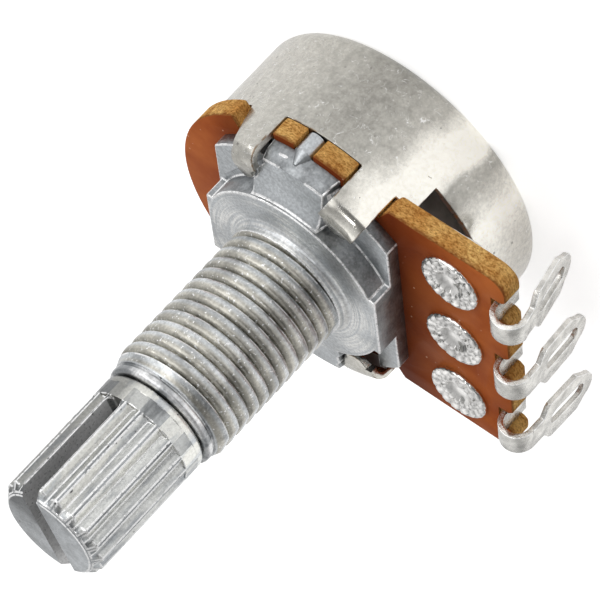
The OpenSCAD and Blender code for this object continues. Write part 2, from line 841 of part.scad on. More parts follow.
// The moulded rotor, with a finger that meets the stop of the cover
module rotor() {
    finger_z = window_z - cover_t - finger_back;
    finger_h = cover_t + finger_back + finger_front;
    shank_rear = hub_z - shank_tail + washer_gap;
    color([0.10, 0.09, 0.09])
        difference() {
            union() {
                translate([0, 0, disc_z])
                    cylinder(d = hub_d, h = hub_h, $fn = 96);
                translate([0, 0, disc_rear])
                    cylinder(r = disc_r, h = disc_t, $fn = 96);
                translate([0, 0, finger_z])
                    rotate(180 + rest_turn - finger_half_turn)
                        rotate_extrude(angle = 2 * finger_half_turn, $fn = 96)
                            translate([hub_d / 2, 0])
                                square([finger_reach - hub_d / 2, finger_h]);
            }
            translate([0, 0, shank_rear])
                cylinder(r = shank_r + fit_clearance / 3, h = board_t + hub_h, $fn = 64);
            translate([0, 0, disc_rear - 1])
                linear_extrude(disc_t + hub_h + 2)
                    rotate(slot_turn - 90)
                        tenon_section(fit_clearance / 3);
        }
}

// One finger of the contact spring rises from its plate to the board, and ends in a round contact
module spring_finger(reach, turn) {
    rise = board_rear - print_t - contact_gap - disc_z;
    tip_r = 0.3;
    span = 2.6;
    climb = atan2(rise - spring_t - tip_r * 0.2, span);
    rotate(turn)
        translate([reach - finger_w / 2, 0, disc_z]) {
            rotate([climb, 0, 0])
                cube([finger_w, span / cos(climb), spring_t]);
            translate([finger_w / 2, span, rise - tip_r])
                sphere(r = tip_r, $fn = 24);
        }
}

// The contact spring bears on the track and on the collector ring
module contact_spring() {
    track_mid = track_inner_r + track_w / 2;
    ring_mid = collector_inner_r + collector_w / 2;
    plate_inner = hub_d / 2 + fit_clearance;
    plate_outer = disc_r - 0.3;
    color([0.80, 0.66, 0.36]) {
        translate([0, 0, disc_z])
            rotate(180 + rest_turn - 70)
                rotate_extrude(angle = 100, $fn = 96)
                    translate([plate_inner, 0])
                        square([plate_outer - plate_inner, spring_t]);
        spring_finger(track_mid, 180 + rest_turn - 24);
        spring_finger(ring_mid, 180 + rest_turn - 36);
    }
}

module thrust_washer() {
    color([0.83, 0.80, 0.70])
        translate([0, 0, washer_z - washer_t])
            difference() {
                cylinder(d = washer_d, h = washer_t, $fn = 96);
                translate([0, 0, -1])
                    cylinder(r = bore_r, h = washer_t + 2, $fn = 96);
            }
}

front_plate();
cover_can();
track_board();
resistive_track();
end_pad(1);  // end_pad_first
end_pad(-1);  // end_pad_last
collector_ring();
solder_lug(lug_pitch, first_lug_lean);  // solder_lug_first
solder_lug(0, middle_lug_lean);  // solder_lug_middle
solder_lug(-lug_pitch, 0);  // solder_lug_last
lug_rivet(lug_pitch);  // rivet_first
lug_rivet(0);  // rivet_middle
lug_rivet(-lug_pitch);  // rivet_last
shaft();
rotor();
contact_spring();
thrust_washer();
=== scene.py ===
# %% [markdown]
# # A rotary potentiometer, dressed in Blender
# The part is a small carbon potentiometer: a die-cast front plate with a threaded bushing, a
# phenolic board with three riveted lugs, a drawn tin cover bent over the plate by four tabs, and a
# split toothed shaft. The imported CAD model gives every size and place. This script gives each piece
# the edges, thread, knurl and finishes that a close photograph shows.

# %% Load the frame
import math
import bmesh
import bpy
from mathutils import Matrix, Vector


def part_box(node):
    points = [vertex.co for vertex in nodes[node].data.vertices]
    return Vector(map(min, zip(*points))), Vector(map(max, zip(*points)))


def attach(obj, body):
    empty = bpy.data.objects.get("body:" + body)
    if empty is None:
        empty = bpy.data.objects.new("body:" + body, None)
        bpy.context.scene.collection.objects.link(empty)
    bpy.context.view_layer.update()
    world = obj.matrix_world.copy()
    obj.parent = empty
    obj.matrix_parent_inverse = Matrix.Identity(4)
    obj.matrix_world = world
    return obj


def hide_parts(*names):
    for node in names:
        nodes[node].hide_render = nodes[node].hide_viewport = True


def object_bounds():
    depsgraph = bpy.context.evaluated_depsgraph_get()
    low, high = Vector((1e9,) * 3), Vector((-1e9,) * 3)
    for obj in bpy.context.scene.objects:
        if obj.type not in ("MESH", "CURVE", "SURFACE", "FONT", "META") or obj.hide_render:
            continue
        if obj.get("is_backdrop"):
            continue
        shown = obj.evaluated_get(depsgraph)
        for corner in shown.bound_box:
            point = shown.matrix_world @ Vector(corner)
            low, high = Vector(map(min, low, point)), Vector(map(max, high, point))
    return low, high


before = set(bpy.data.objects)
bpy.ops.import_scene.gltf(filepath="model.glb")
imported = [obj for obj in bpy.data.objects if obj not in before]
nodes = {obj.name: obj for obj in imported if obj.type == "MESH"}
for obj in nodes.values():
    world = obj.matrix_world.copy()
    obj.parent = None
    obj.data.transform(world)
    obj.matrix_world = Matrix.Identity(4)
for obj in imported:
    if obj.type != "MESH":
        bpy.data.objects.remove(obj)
cad_low, cad_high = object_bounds()
MM = 0.001
# Points closer than this are one point
TOUCH = 0.001 * MM
print("nodes:", len(nodes), "height in mm:", round((cad_high[2] - cad_low[2]) / MM, 2))

# %% [markdown]
# ## Camera
# The camera comes first, because every later choice is judged through it. The photograph was taken
# with a long lens, from the lug side and a little in front of the seat. The part lies slanted in the
# picture, so the camera is rolled about its own axis.

# %% Place the camera
CAMERA_PLACE = Vector((93.928, 202.075, 90.109)) * MM
CAMERA_AIM = Vector((0.898, -0.684, 0.615)) * MM
CAMERA_ROLL = math.radians(-136.821)
LENS_MM = 295.904
SENSOR_MM = 36


def add_camera():
    camera_data = bpy.data.cameras.new("camera")
    camera_data.lens = LENS_MM
    camera_data.sensor_width = SENSOR_MM
    camera_data.clip_start = 0.01
    camera = bpy.data.objects.new("camera", camera_data)
    bpy.context.scene.collection.objects.link(camera)
    look = (CAMERA_AIM - CAMERA_PLACE).to_track_quat("-Z", "Y").to_matrix().to_4x4()
    roll = Matrix.Rotation(CAMERA_ROLL, 4, "Z")
    camera.matrix_world = Matrix.Translation(CAMERA_PLACE) @ look @ roll
    bpy.context.scene.camera = camera
    return camera


camera = add_camera()
print("camera at mm:", [round(v / MM, 1) for v in camera.location])

# %% [markdown]
# ## Helpers for modelling
# The same few moves come back in every piece: start with nothing selected, open a mesh in edit mode,
# pick points, edges or faces by a test, and finish with a modifier that is applied at once. Each is
# a short function, so that the cells below read like the steps of a person at the screen.

# %% Selecting and finishing
def deselect_all():
    if bpy.context.object and bpy.context.object.mode != "OBJECT":
        bpy.ops.object.mode_set(mode="OBJECT")
    bpy.ops.object.select_all(action="DESELECT")


def only(piece):
    deselect_all()
    piece.select_set(True)
    bpy.context.view_layer.objects.active = piece


def new_piece(name):
    """The primitive that was just added becomes a piece, with its place in its mesh."""
    piece = bpy.context.object
    piece.name = name
    piece.data.name = name
    only(piece)
    bpy.ops.object.transform_apply(location=True, rotation=True, scale=True)
    return piece


def start_edit(piece, mode="VERT"):
    """Opens a piece in edit mode with all of it selected."""
    only(piece)
    bpy.ops.object.mode_set(mode="EDIT")
    bpy.ops.mesh.select_mode(type=mode)
    bpy.ops.mesh.select_all(action="SELECT")


def end_edit():
    bpy.ops.object.mode_set(mode="OBJECT")


def pick(piece, kind, test):
    """Selects the points, edges or faces that pass the test, in edit mode."""
    bpy.ops.mesh.select_mode(type=kind)
    bpy.ops.mesh.select_all(action="DESELECT")
    mesh = bmesh.from_edit_mesh(piece.data)
    for item in {"VERT": mesh.verts, "EDGE": mesh.edges, "FACE": mesh.faces}[kind]:
        if test(item):
            item.select_set(True)
    if kind == "VERT":
        mesh.select_flush(True)
    bmesh.update_edit_mesh(piece.data)


def join_points(distance=TOUCH):
    bpy.ops.mesh.remove_doubles(threshold=distance)


def turn_selected(angle):
    """Turns what is selected round the shaft, from +X towards +Y."""
    bpy.ops.transform.rotate(value=-angle, orient_axis="Z", center_override=(0, 0, 0))


def widen_selected(factor, centre=(0, 0, 0)):
    bpy.ops.transform.resize(value=(factor, factor, 1), center_override=centre)


def raise_selected(height_mm):
    """Extrudes the selected face along the shaft."""
    bpy.ops.mesh.extrude_region_move(TRANSFORM_OT_translate={"value": (0, 0, height_mm * MM)})


def face_outwards():
    """Turns all faces to look out of their solid, in edit mode."""
    bpy.ops.mesh.select_all(action="SELECT")
    bpy.ops.mesh.normals_make_consistent(inside=False)


def face_marks(piece, *names):
    """New numbers for the faces of a piece, all 0 at first, which its material can read."""
    for name in names:
        piece.data.attributes.new(name, "FLOAT", "FACE")
    return [piece.data.attributes[name].data for name in names]


def apply_modifier(piece, kind, **settings):
    only(piece)
    modifier = piece.modifiers.new(kind.lower(), kind)
    for name, value in settings.items():
        setattr(modifier, name, value)
    bpy.ops.object.modifier_apply(modifier=modifier.name)


def combine(piece, tool, operation):
    """Joins or cuts a piece with another closed shape, which is used up."""
    apply_modifier(piece, "BOOLEAN", object=tool, operation=operation, solver="EXACT")
    bpy.data.objects.remove(tool)


def smooth(piece, degrees=32):
    only(piece)
    bpy.ops.object.shade_smooth_by_angle(angle=math.radians(degrees))


def report_piece(piece):
    only(piece)
    print(piece.name, "faces:", len(piece.data.polygons))


# %% [markdown]
# ## Worn edges
# Cast, drawn and stamped metal has no sharp corner: the tool leaves a tiny round, and handling
# polishes it. A bevel gives each corner that round. The bevel's own faces are also marked in an
# attribute named worn, so that a material can make them brighter: wear, and a painted highlight
# along the edge.

# %% Copy a solid and round its edges
WORN = "worn"
COPY_TOUCH = 0.0008 * MM
FLAT_WITHIN = math.radians(0.5)
# Cosine between two edges that carry on from each other, and the room that a round needs in widths
CARRIES_ON = 0.8
ROOM = 2.2


def merged_copy(node, name):
    """A copy of a CAD solid with its loose triangles merged and its flat faces made whole."""
    piece = nodes[node].copy()
    piece.data = nodes[node].data.copy()
    piece.parent = None
    piece.name = name
    for key in list(piece.keys()):
        del piece[key]
    bpy.context.scene.collection.objects.link(piece)
    start_edit(piece)
    join_points(COPY_TOUCH)
    bpy.ops.mesh.customdata_custom_splitnormals_clear()
    bpy.ops.mesh.dissolve_limited(angle_limit=FLAT_WITHIN)
    end_edit()
    return piece


def mark_worn(piece):
    """Turns the second material slot, which the bevel gave its faces, into the worn attribute."""
    worn, = face_marks(piece, WORN)
    for face in piece.data.polygons:
        worn[face.index].value = float(face.material_index)
        face.material_index = 0
    while len(piece.data.materials) > 1:
        piece.data.materials.pop()


def runs_on(edge, point, other):
    """Whether the other edge carries on from the first in nearly the same direction."""
    arriving = (point.co - edge.other_vert(point).co).normalized()
    leaving = (other.other_vert(point).co - point.co).normalized()
    return arriving.dot(leaving) > CARRIES_ON


def has_room(edge, width):
    """Whether the edges beside this one are long enough to give up the width of the round."""
    return all(
        other.calc_length() > ROOM * width or runs_on(edge, point, other)
        for point in edge.verts for other in point.link_edges if other != edge
    )


def is_sharp(edge, degrees):
    return len(edge.link_faces) == 2 and edge.calc_face_angle() > math.radians(degrees)


def round_edges(piece, width_mm, degrees=28, keep=lambda place: False, speck_mm=0.004):
    """Bevels the sharp edges, except those that the keep test leaves as they are."""
    while len(piece.data.materials) < 2:
        piece.data.materials.append(None)
    start_edit(piece, "EDGE")
    bpy.ops.mesh.dissolve_degenerate(threshold=speck_mm * MM)

    def to_round(edge):
        middle = (edge.verts[0].co + edge.verts[1].co) / 2 / MM
        return is_sharp(edge, degrees) and has_room(edge, width_mm * MM) and not keep(middle)

    pick(piece, "EDGE", to_round)
    bpy.ops.mesh.bevel(
        offset=width_mm * MM, segments=2, affect="EDGES", clamp_overlap=False, material=1
    )
    end_edit()
    mark_worn(piece)
    smooth(piece)


# %% [markdown]
# ## Front plate: the thread
# The bushing is cast with an M7 thread of 0.75 mm pitch. Its crests are broad and round and its
# roots are narrow lines, as a die leaves them. The Screw modifier turns and raises one profile, a
# single pitch, and each turn climbs by one. The rod is made too long and then cut at both ends.

# %% Turn the thread
PITCH = 0.75
CREST_R = 3.43
ROOT_TURN = 154
ROOT_HEIGHT = 2.37
THREAD_START = 0.6
THREAD_END = 9.62
# Height in the pitch and depth under the crest, from one root to the next
THREAD_PROFILE = (
    (0.00, 0.24), (0.03, 0.17), (0.06, 0.09), (0.10, 0.045), (0.17, 0.015), (0.27, 0.00),
    (0.44, 0.00), (0.56, 0.02), (0.64, 0.06), (0.69, 0.12), (0.72, 0.18), (0.75, 0.24),
)
THREAD_STEPS = 90
THREAD_TURNS = 15
TURNS_BELOW = 4


def add_profile(name, points):
    """An open line of points in the XZ plane, made by extruding one point again and again."""
    deselect_all()
    bpy.ops.mesh.primitive_plane_add(size=MM)
    start_edit(bpy.context.object)
    bpy.ops.mesh.merge(type="CENTER")
    here = Vector((0, 0, 0))
    for r, z in points:
        there = Vector((r, 0, z)) * MM
        if (r, z) == points[0]:
            bpy.ops.transform.translate(value=there - here)
        else:
            bpy.ops.mesh.extrude_vertices_move(TRANSFORM_OT_translate={"value": there - here})
        here = there
    end_edit()
    return new_piece(name)


# How upright a normal is on a level face
LEVEL = 0.9


def cut_flat(piece, place, normal):
    """Cuts away what lies on the normal's side of a plane and closes the cut."""
    start_edit(piece)
    bpy.ops.mesh.bisect(
        plane_co=place, plane_no=normal, use_fill=True, clear_outer=True, threshold=0.0001 * MM
    )
    end_edit()


def thread_rod():
    profile = [(CREST_R - depth, height) for height, depth in THREAD_PROFILE]
    rod = add_profile("thread_rod", profile)
    apply_modifier(
        rod, "SCREW", axis="Z", angle=2 * math.pi, screw_offset=PITCH * MM,
        iterations=THREAD_TURNS, steps=THREAD_STEPS, render_steps=THREAD_STEPS,
        use_merge_vertices=True, merge_threshold=TOUCH,
    )
    start_edit(rod)
    join_points()
    turn_selected(math.radians(ROOT_TURN))
    bpy.ops.transform.translate(value=(0, 0, (ROOT_HEIGHT - TURNS_BELOW * PITCH) * MM))
    end_edit()
    cut_flat(rod, (0, 0, THREAD_START * MM), (0, 0, -1))
    cut_flat(rod, (0, 0, THREAD_END * MM), (0, 0, 1))
    start_edit(rod)
    face_outwards()
    end_edit()
    return rod


rod = thread_rod()
print("thread rod points:", len(rod.data.vertices), "from", round(rod.bound_box[0][2] / MM, 2))

# %% [markdown]
# Die-cast threads are parted along their length, and the parting line is dressed flat. Here one
# narrow flat runs down one side, and the ridges die out on it. A bisect through the rod cuts it.

# %% Dress the flat
FLAT_TURN = math.radians(-19)
FLAT_REACH = 3.26
flat_normal = Vector((math.cos(FLAT_TURN), math.sin(FLAT_TURN), 0))
cut_flat(rod, flat_normal * FLAT_REACH * MM, flat_normal)
print("flat across the thread, faces now:", len(rod.data.polygons))

# %% [markdown]
# ## Front plate: the casting
# The plate is a copy of its solid, cut off above the seat and closed again with the threaded rod, a
# plain core for the undercut, and the smooth pilot ring at the mouth. It is one casting, so the
# shapes are united into one skin, and the bore is cut through the whole at the end.

# %% Build the casting
BORE_R = 2.36
CORE_R = 3.05
LEAD_START = 8.75
LEAD_R = 3.12
PILOT_R = 3.13
PILOT_ROUND = 0.24
BUSHING_END = 10.2
SEAT_CUT = 0.62
PLATE_ROUND = 0.075
# The pointed key: its axis, the radius round it, and the zone of the plate that holds it
KEY_X, KEY_Y, KEY_R = -0.25, 7.78, 0.6
KEY_HALF_WIDTH, KEY_ZONE_Y = 0.75, 6.8
FOOT_Z = -1.85
WALL_SHADE = "wall"
# How far a normal may lean up or down on a wall, and the height of the plate's front face
LEAN = 0.75
FRONT_Z = -0.02


def add_rod(name, r, low, high):
    deselect_all()
    middle = (low + high) / 2 * MM
    bpy.ops.mesh.primitive_cylinder_add(
        vertices=128, radius=r * MM, depth=(high - low) * MM, location=(0, 0, middle)
    )
    return new_piece(name)


def pilot_ring():
    """The plain front end: a low bead, round at the mouth and round again towards the thread."""
    ring = add_rod("pilot", PILOT_R, THREAD_END + 0.02, BUSHING_END)
    start_edit(ring)
    pick(ring, "FACE", lambda face: abs(face.normal.z) > LEVEL)
    bpy.ops.mesh.bevel(offset=PILOT_ROUND * MM, segments=6, affect="EDGES")
    end_edit()
    return ring


def lead_in():
    """The shape that the first turns are trimmed to: full size, then a slope down to the bead."""
    full = CREST_R + 0.1
    shape = add_rod("lead_in", full, THREAD_START - 0.3, LEAD_START)
    start_edit(shape)
    pick(shape, "FACE", lambda face: face.normal.z > LEVEL)
    raise_selected(THREAD_END + 0.1 - LEAD_START)
    widen_selected(LEAD_R / full)
    end_edit()
    return shape


def stays_sharp(place):
    """The pointed key in the board's notch, and the foot of the plate, which lies on the board."""
    at_key = abs(place.x) < KEY_HALF_WIDTH and place.y > KEY_ZONE_Y
    return at_key or place.z < FOOT_Z


def is_key_side(face):
    """Whether a face looks away from the middle of the key."""
    out = Vector((face.center.x / MM - KEY_X, face.center.y / MM - KEY_Y, 0))
    return out.length < KEY_R and face.normal.dot(out) > 0.6 * out.length


def mark_wall_shade(piece):
    """Marks the upright walls of the plate, which are painted darker as shade."""
    wall, = face_marks(piece, WALL_SHADE)
    for face in piece.data.polygons:
        upright = abs(face.normal.z) < LEAN and face.center.z < FRONT_Z * MM
        wall[face.index].value = float(upright and not is_key_side(face))


def build_casting():
    combine(rod, lead_in(), "INTERSECT")
    barrel = add_rod("barrel", CORE_R, -0.6, THREAD_END + 0.3)
    combine(barrel, pilot_ring(), "UNION")
    combine(barrel, rod, "UNION")
    casting = merged_copy("front_plate", "casting")
    combine(casting, add_rod("saw", 4, SEAT_CUT, BUSHING_END + 1), "DIFFERENCE")
    round_edges(casting, PLATE_ROUND, degrees=20, keep=stays_sharp)
    mark_wall_shade(casting)
    combine(casting, barrel, "UNION")
    combine(casting, add_rod("bore", BORE_R, -4, BUSHING_END + 1), "DIFFERENCE")
    smooth(casting, 30)
    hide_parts("front_plate")
    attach(casting, "housing")
    return casting


casting = build_casting()
report_piece(casting)

# %% [markdown]
# ## Cover
# The cover is drawn from thin tin plate, and its four tabs are bent over the plate. The solid has the
# true cup, window and tabs, so a copy of it keeps the form, and a small bevel gives the sheet the
# rolled edge that catches light all along the rim. Two attributes mark the sheared rim of the window
# and the inside of the cup, which look different from the outside.

# %% Build the cover
CUT = "cut"
INNER = "inner"
SHEET_ROUND = 0.06
# In front of this x and between these heights the sheet is the rim of the window
WINDOW_X, WINDOW_Z = 4.5, (-5.2, -3.1)
CUP_FRONT_Z, CUP_FLOOR_Z = -3.4, -8.5


def dressed(node, name, slot, body, width_mm, degrees=28, repair=None, **rounding):
    piece = merged_copy(node, name)
    if repair:
        repair(piece)
    round_edges(piece, width_mm, degrees, **rounding)
    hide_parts(node)
    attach(piece, body)
    return piece


def mark_sheet(piece):
    """Marks the cut edges of the sheet round the window, and the inside of the cup."""
    cut, inner = face_marks(piece, CUT, INNER)
    for face in piece.data.polygons:
        x, y, z = face.center / MM
        outward = (face.normal.x * x + face.normal.y * y) / math.hypot(x, y)
        at_window = x > WINDOW_X and WINDOW_Z[0] < z < WINDOW_Z[1]
        cut[face.index].value = float(at_window and abs(outward) < LEAN)
        on_floor = face.normal.z > 0.5 and z < CUP_FLOOR_Z
        inner[face.index].value = float(z < CUP_FRONT_Z and (outward < -0.5 or on_floor))


cover = dressed("cover_can", "tin_cover", "tin_plate", "housing", SHEET_ROUND)
mark_sheet(cover)
report_piece(cover)

# %% [markdown]
# ## Board
# The board is punched from phenolic paper. Its two faces are glossy red-brown, and the punched edge
# shows the torn paper, golden and fibrous. An attribute named cut marks the side walls, so one
# material can hold both finishes.

# %% Build the board
BOARD_ROUND = 0.08


def mark_sides(piece):
    cut, = face_marks(piece, CUT)
    for face in piece.data.polygons:
        cut[face.index].value = float(abs(face.normal.z) < 0.8)


board = dressed("track_board", "phenolic_board", "phenolic_board", "housing", BOARD_ROUND)
mark_sides(board)
report_piece(board)

# %% [markdown]
# ## Lugs
# Each lug is sheared from thin sheet, riveted under the board and hooked over its end. The three are
# the same stamping, bent to a slightly different lean, so each is taken from its own solid, and the
# sheared edges get a fine round. The tilted eye runs into the hook with a fold as fine as a hair,
# which is welded first, because a bevel would tear it.

# %% Build the lugs
LUGS = ("first", "middle", "last")
LUG_ROUND = 0.035
SEAM_X, SEAM_Z = 12.8, (-2.06, -1.92)
SEAM_WIDTH = 0.075
FOLD_DEGREES = 150


def at_seam(place):
    return place.x > SEAM_X and SEAM_Z[0] < place.z < SEAM_Z[1]


def close_seam(piece):
    """Welds the hair-wide fold that the tilt of the eye leaves where it meets the hook."""
    start_edit(piece)
    pick(piece, "VERT", lambda point: at_seam(point.co / MM))
    join_points(SEAM_WIDTH * MM)
    bpy.ops.mesh.select_mode(type="FACE")
    bpy.ops.mesh.select_all(action="DESELECT")
    bpy.ops.mesh.select_interior_faces()
    bpy.ops.mesh.delete(type="FACE")
    pick(piece, "EDGE", lambda edge: is_sharp(edge, FOLD_DEGREES))
    bpy.ops.mesh.delete(type="EDGE_FACE")
    bpy.ops.mesh.select_all(action="SELECT")
    bpy.ops.mesh.fill_holes(sides=8)
    face_outwards()
    end_edit()


lugs = [
    dressed(f"solder_lug_{place}", f"lug_{place}", "tinned_lug", "housing", LUG_ROUND, 40,
            repair=close_seam, speck_mm=0.01, keep=at_seam)
    for place in LUGS
]
for lug in lugs:
    report_piece(lug)

# %% [markdown]
# ## Rivets
# The rivets are short tubes whose front end is rolled over by a serrated punch. It leaves a plain
# outer rim, a ring of radial creases and a smooth bright dimple in the middle. One half section is
# spun round the axis, and then every fourth line of points on the rolled ring is pressed down, which
# makes sixteen creases.

# %% Build one rivet
RIVET_STEPS = 64
# Radius and height of the half section, from the rear centre to the front centre
RIVET_SECTION = (
    (0, -3.8), (1.35, -3.8), (1.5, -3.68), (1.5, -3.5), (1.08, -3.5), (1.08, -2.0), (1.68, -2.0),
    (1.7, -1.9), (1.66, -1.78), (1.56, -1.70), (1.42, -1.68), (1.30, -1.74), (1.18, -1.78),
    (1.02, -1.74), (0.90, -1.72), (0.78, -1.80), (0.66, -1.98), (0.50, -2.12), (0.28, -2.2),
    (0, -2.22),
)
CREASES = 16
CREASE_DEPTH = 0.13
CREASE_R = (0.85, 1.6)
CREASE_LOWEST_Z = -1.85


def rivet_at(x, y, name):
    rivet = add_profile(name, list(RIVET_SECTION))
    start_edit(rivet)
    bpy.ops.mesh.spin(steps=RIVET_STEPS, angle=2 * math.pi, center=(0, 0, 0), axis=(0, 0, 1))
    bpy.ops.mesh.select_all(action="SELECT")
    join_points()
    face_outwards()
    step = 2 * math.pi / CREASES

    def in_crease(point):
        x, y, z = point.co / MM
        turn = math.atan2(y, x) % step
        on_ring = CREASE_R[0] < math.hypot(x, y) < CREASE_R[1] and z > CREASE_LOWEST_Z
        return on_ring and min(turn, step - turn) < 0.02

    pick(rivet, "VERT", in_crease)
    bpy.ops.transform.translate(value=(0, 0, -CREASE_DEPTH * MM))
    bpy.ops.mesh.select_all(action="SELECT")
    bpy.ops.transform.translate(value=(x * MM, y * MM, 0))
    end_edit()
    return rivet


rivets = []
for place in LUGS:
    low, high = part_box(f"rivet_{place}")
    middle = (low + high) / 2 / MM
    rivet = rivet_at(middle.x, middle.y, f"star_rivet_{place}")
    smooth(rivet, 50)
    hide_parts(f"rivet_{place}")
    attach(rivet, "housing")
    rivets.append(rivet)
    report_piece(rivet)

# %% [markdown]
# ## Shaft
# The knob end is knurled with 18 grooves. A circle of 90 points has five points for each groove: one
# in the bottom, one on each wall and one at each edge of the land. Pulling the first three towards
# the axis makes the toothed section, and extruding that section makes the teeth. The collar behind
# them is the same ring left nearly round, and the slot that lets the end spring is cut last.

# %% Build the toothed end
KNOB_R = 3.0
GROOVE_R = 2.66
FACET_R = 2.982
TEETH = 18
SLOT_TURN = 110
WALL_SHARE = 0.44
TIP_R = 2.55
TIP_Z = 18.2
START_R, START_Z = 2.7, 10.25
# Height, radius of the lands and radius of the groove bottoms, ring by ring from the rear face
RINGS = (
    (10.30, 2.86, 2.86), (10.38, 2.95, 2.95), (10.52, 3.0, 3.0), (10.74, 3.0, 3.0),
    (10.78, KNOB_R, FACET_R), (11.6, KNOB_R, FACET_R), (11.62, KNOB_R, GROOVE_R),
    (17.72, KNOB_R, GROOVE_R), (18.08, 2.66, 2.64), (TIP_Z, TIP_R, TIP_R),
)


def toothed_end():
    deselect_all()
    bpy.ops.mesh.primitive_circle_add(
        vertices=5 * TEETH, radius=START_R * MM, fill_type="NGON", location=(0, 0, START_Z * MM)
    )
    piece = new_piece("toothed_end")
    start_edit(piece)
    turn_selected(math.radians(SLOT_TURN) - math.pi / 2)
    groove = 2 * math.pi / TEETH

    def part_of_groove(point):
        """0 in the bottom of a groove, 1 on its walls, 2 on the land."""
        turn = (math.atan2(point.co.y, point.co.x) - math.radians(SLOT_TURN)) % groove
        return round(min(turn, groove - turn) / groove * 5)

    height, now = START_Z, (START_R, START_R, START_R)
    for z, land, bottom in RINGS:
        end, top = height * MM - TOUCH, z * MM
        pick(piece, "FACE",
             lambda face: face.calc_center_median().z > end and abs(face.normal.z) > LEVEL)
        raise_selected(z - height)
        wall = bottom + WALL_SHARE * (land - bottom)
        for part, wanted in enumerate((bottom, wall, land)):
            pick(piece, "VERT",
                 lambda point: point.co.z > top - TOUCH and part_of_groove(point) == part)
            widen_selected(wanted / now[part], (0, 0, top))
        height, now = z, (bottom, wall, land)
    face_outwards()
    end_edit()
    return piece


knob = toothed_end()
report_piece(knob)

# %% [markdown]
# The shank, the tenon and the staked head behind the collar are seen only when the part is apart, so
# they come from the solid, cut off under the collar. The slot is a straight saw cut with a round
# end. Attributes mark the lands, the groove walls that face one way, which get painted shade, and
# the slot, and give each facet of the collar a painted reflection tone.

# %% Join the shaft and cut its slot
SLOT_W = 0.97
SLOT_END = 11.6
CUTTER_LENGTH, CUTTER_DEPTH = 8, 10
SHAFT_ROUND = 0.055
NECK_R, NECK_Z = 2.3, (10.0, 10.4)
COLLAR_R, COLLAR_Z = 2.9, (10.74, 11.62)
TEETH_Z = (SLOT_END, 17.9)
# Outside the first radius a face is a land, and inside the second it is in the slot
LAND_R, SLOT_R = 2.985, 2.58
# Share of a normal along the turn, above which a groove wall gets painted shade or is in the slot
FLANK_AHEAD, SLOT_AHEAD = 0.12, 0.9
# How much painted shade the groove walls that face one way get
PAINTED_GROOVE_WALL_SHADE = 0.55
FACET_DEGREES = 360 / TEETH
# Painted reflection: a grey for each facet of the collar, in turn
PAINTED_FACET_REFLECTIONS = (0.2, 0.9, 0.5, 0.0, 0.7)
LAND_AND_PAINTED_SHADE = "land"
INSIDE = "inside"


def slot_cutter():
    """A block as wide as the slot, its lower end round, turned to the slot's direction."""
    deselect_all()
    middle = SLOT_END + CUTTER_LENGTH / 2
    bpy.ops.mesh.primitive_cube_add(size=MM, location=(0, 0, middle * MM))
    bpy.context.object.scale = (SLOT_W, CUTTER_DEPTH, CUTTER_LENGTH)
    cutter = new_piece("slot_cutter")
    start_edit(cutter)

    def is_lower_side(edge):
        one, other = (point.co for point in edge.verts)
        return max(one.z, other.z) < middle * MM and abs(one.x - other.x) < SLOT_W / 2 * MM

    pick(cutter, "EDGE", is_lower_side)
    bpy.ops.mesh.bevel(offset=0.499 * SLOT_W * MM, segments=14, affect="EDGES")
    bpy.ops.mesh.select_all(action="SELECT")
    turn_selected(math.radians(SLOT_TURN - 90))
    end_edit()
    return cutter


def is_round(face, heights):
    """Whether a face stands upright between two heights."""
    return heights[0] < face.center.z / MM < heights[1] and abs(face.normal.z) < 0.3


def on_collar(face):
    return is_round(face, COLLAR_Z) and face.center.xy.length > COLLAR_R * MM


def mark_lands_and_painted_shade(piece):
    """Marks the lands, the groove walls that face one way with painted shade, and the slot, gives the
    collar's facets painted reflections, and turns them flat.
    """
    land, inside = face_marks(piece, LAND_AND_PAINTED_SHADE, INSIDE)
    for face in piece.data.polygons:
        x, y = face.center.xy / MM
        r = math.hypot(x, y)
        ahead = (face.normal.y * x - face.normal.x * y) / max(r, 0.1)
        on_teeth = is_round(face, TEETH_Z)
        in_slot = on_teeth and (r < SLOT_R or abs(ahead) > SLOT_AHEAD)
        inside[face.index].value = float(in_slot)
        if on_collar(face):
            turn = (math.degrees(math.atan2(y, x)) - SLOT_TURN) % 360
            # Painted reflection: each facet of the collar gets its own grey.
            land[face.index].value = PAINTED_FACET_REFLECTIONS[round(turn / FACET_DEGREES) % len(PAINTED_FACET_REFLECTIONS)]
        elif on_teeth and r > LAND_R:
            land[face.index].value = 1.0
        elif on_teeth and ahead > FLANK_AHEAD and not in_slot:
            # Painted shade on the groove walls that face one way.
            land[face.index].value = PAINTED_GROOVE_WALL_SHADE
    for face in piece.data.polygons:
        if on_collar(face):
            face.use_smooth = False


def build_shaft():
    shaft = merged_copy("shaft", "split_shaft")
    cut_flat(shaft, (0, 0, sum(NECK_Z) / 2 * MM), (0, 0, 1))
    combine(shaft, add_rod("neck", NECK_R, *NECK_Z), "UNION")
    combine(shaft, knob, "UNION")
    combine(shaft, slot_cutter(), "DIFFERENCE")
    round_edges(shaft, SHAFT_ROUND, degrees=22)
    mark_lands_and_painted_shade(shaft)
    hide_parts("shaft")
    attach(shaft, "shaft_unit")
    return shaft


shaft = build_shaft()
report_piece(shaft)

# %% [markdown]
# ## Materials
# Every finish is built from nodes on Object coordinates, so it stays on the metal when the part
# turns. The helpers below wire the patterns that come back in each: clouds, grain, hairlines, and
# curves along a direction of the part. Lengths are in millimetres.

# %% Node helpers
def add_node(tree, kind):
    return tree.nodes.new("ShaderNode" + kind)


def fresh_material(name):
    material = bpy.data.materials.new(name)
    material.use_nodes = True
    tree = material.node_tree
    tree.nodes.clear()
    output = add_node(tree, "OutputMaterial")
    shader = add_node(tree, "BsdfPrincipled")
    tree.links.new(shader.outputs["BSDF"], output.inputs["Surface"])
    return material, tree, shader


def set_or_link(tree, socket, value):
    if isinstance(value, (float, int, tuple)):
        socket.default_value = value
    else:
        tree.links.new(value, socket)


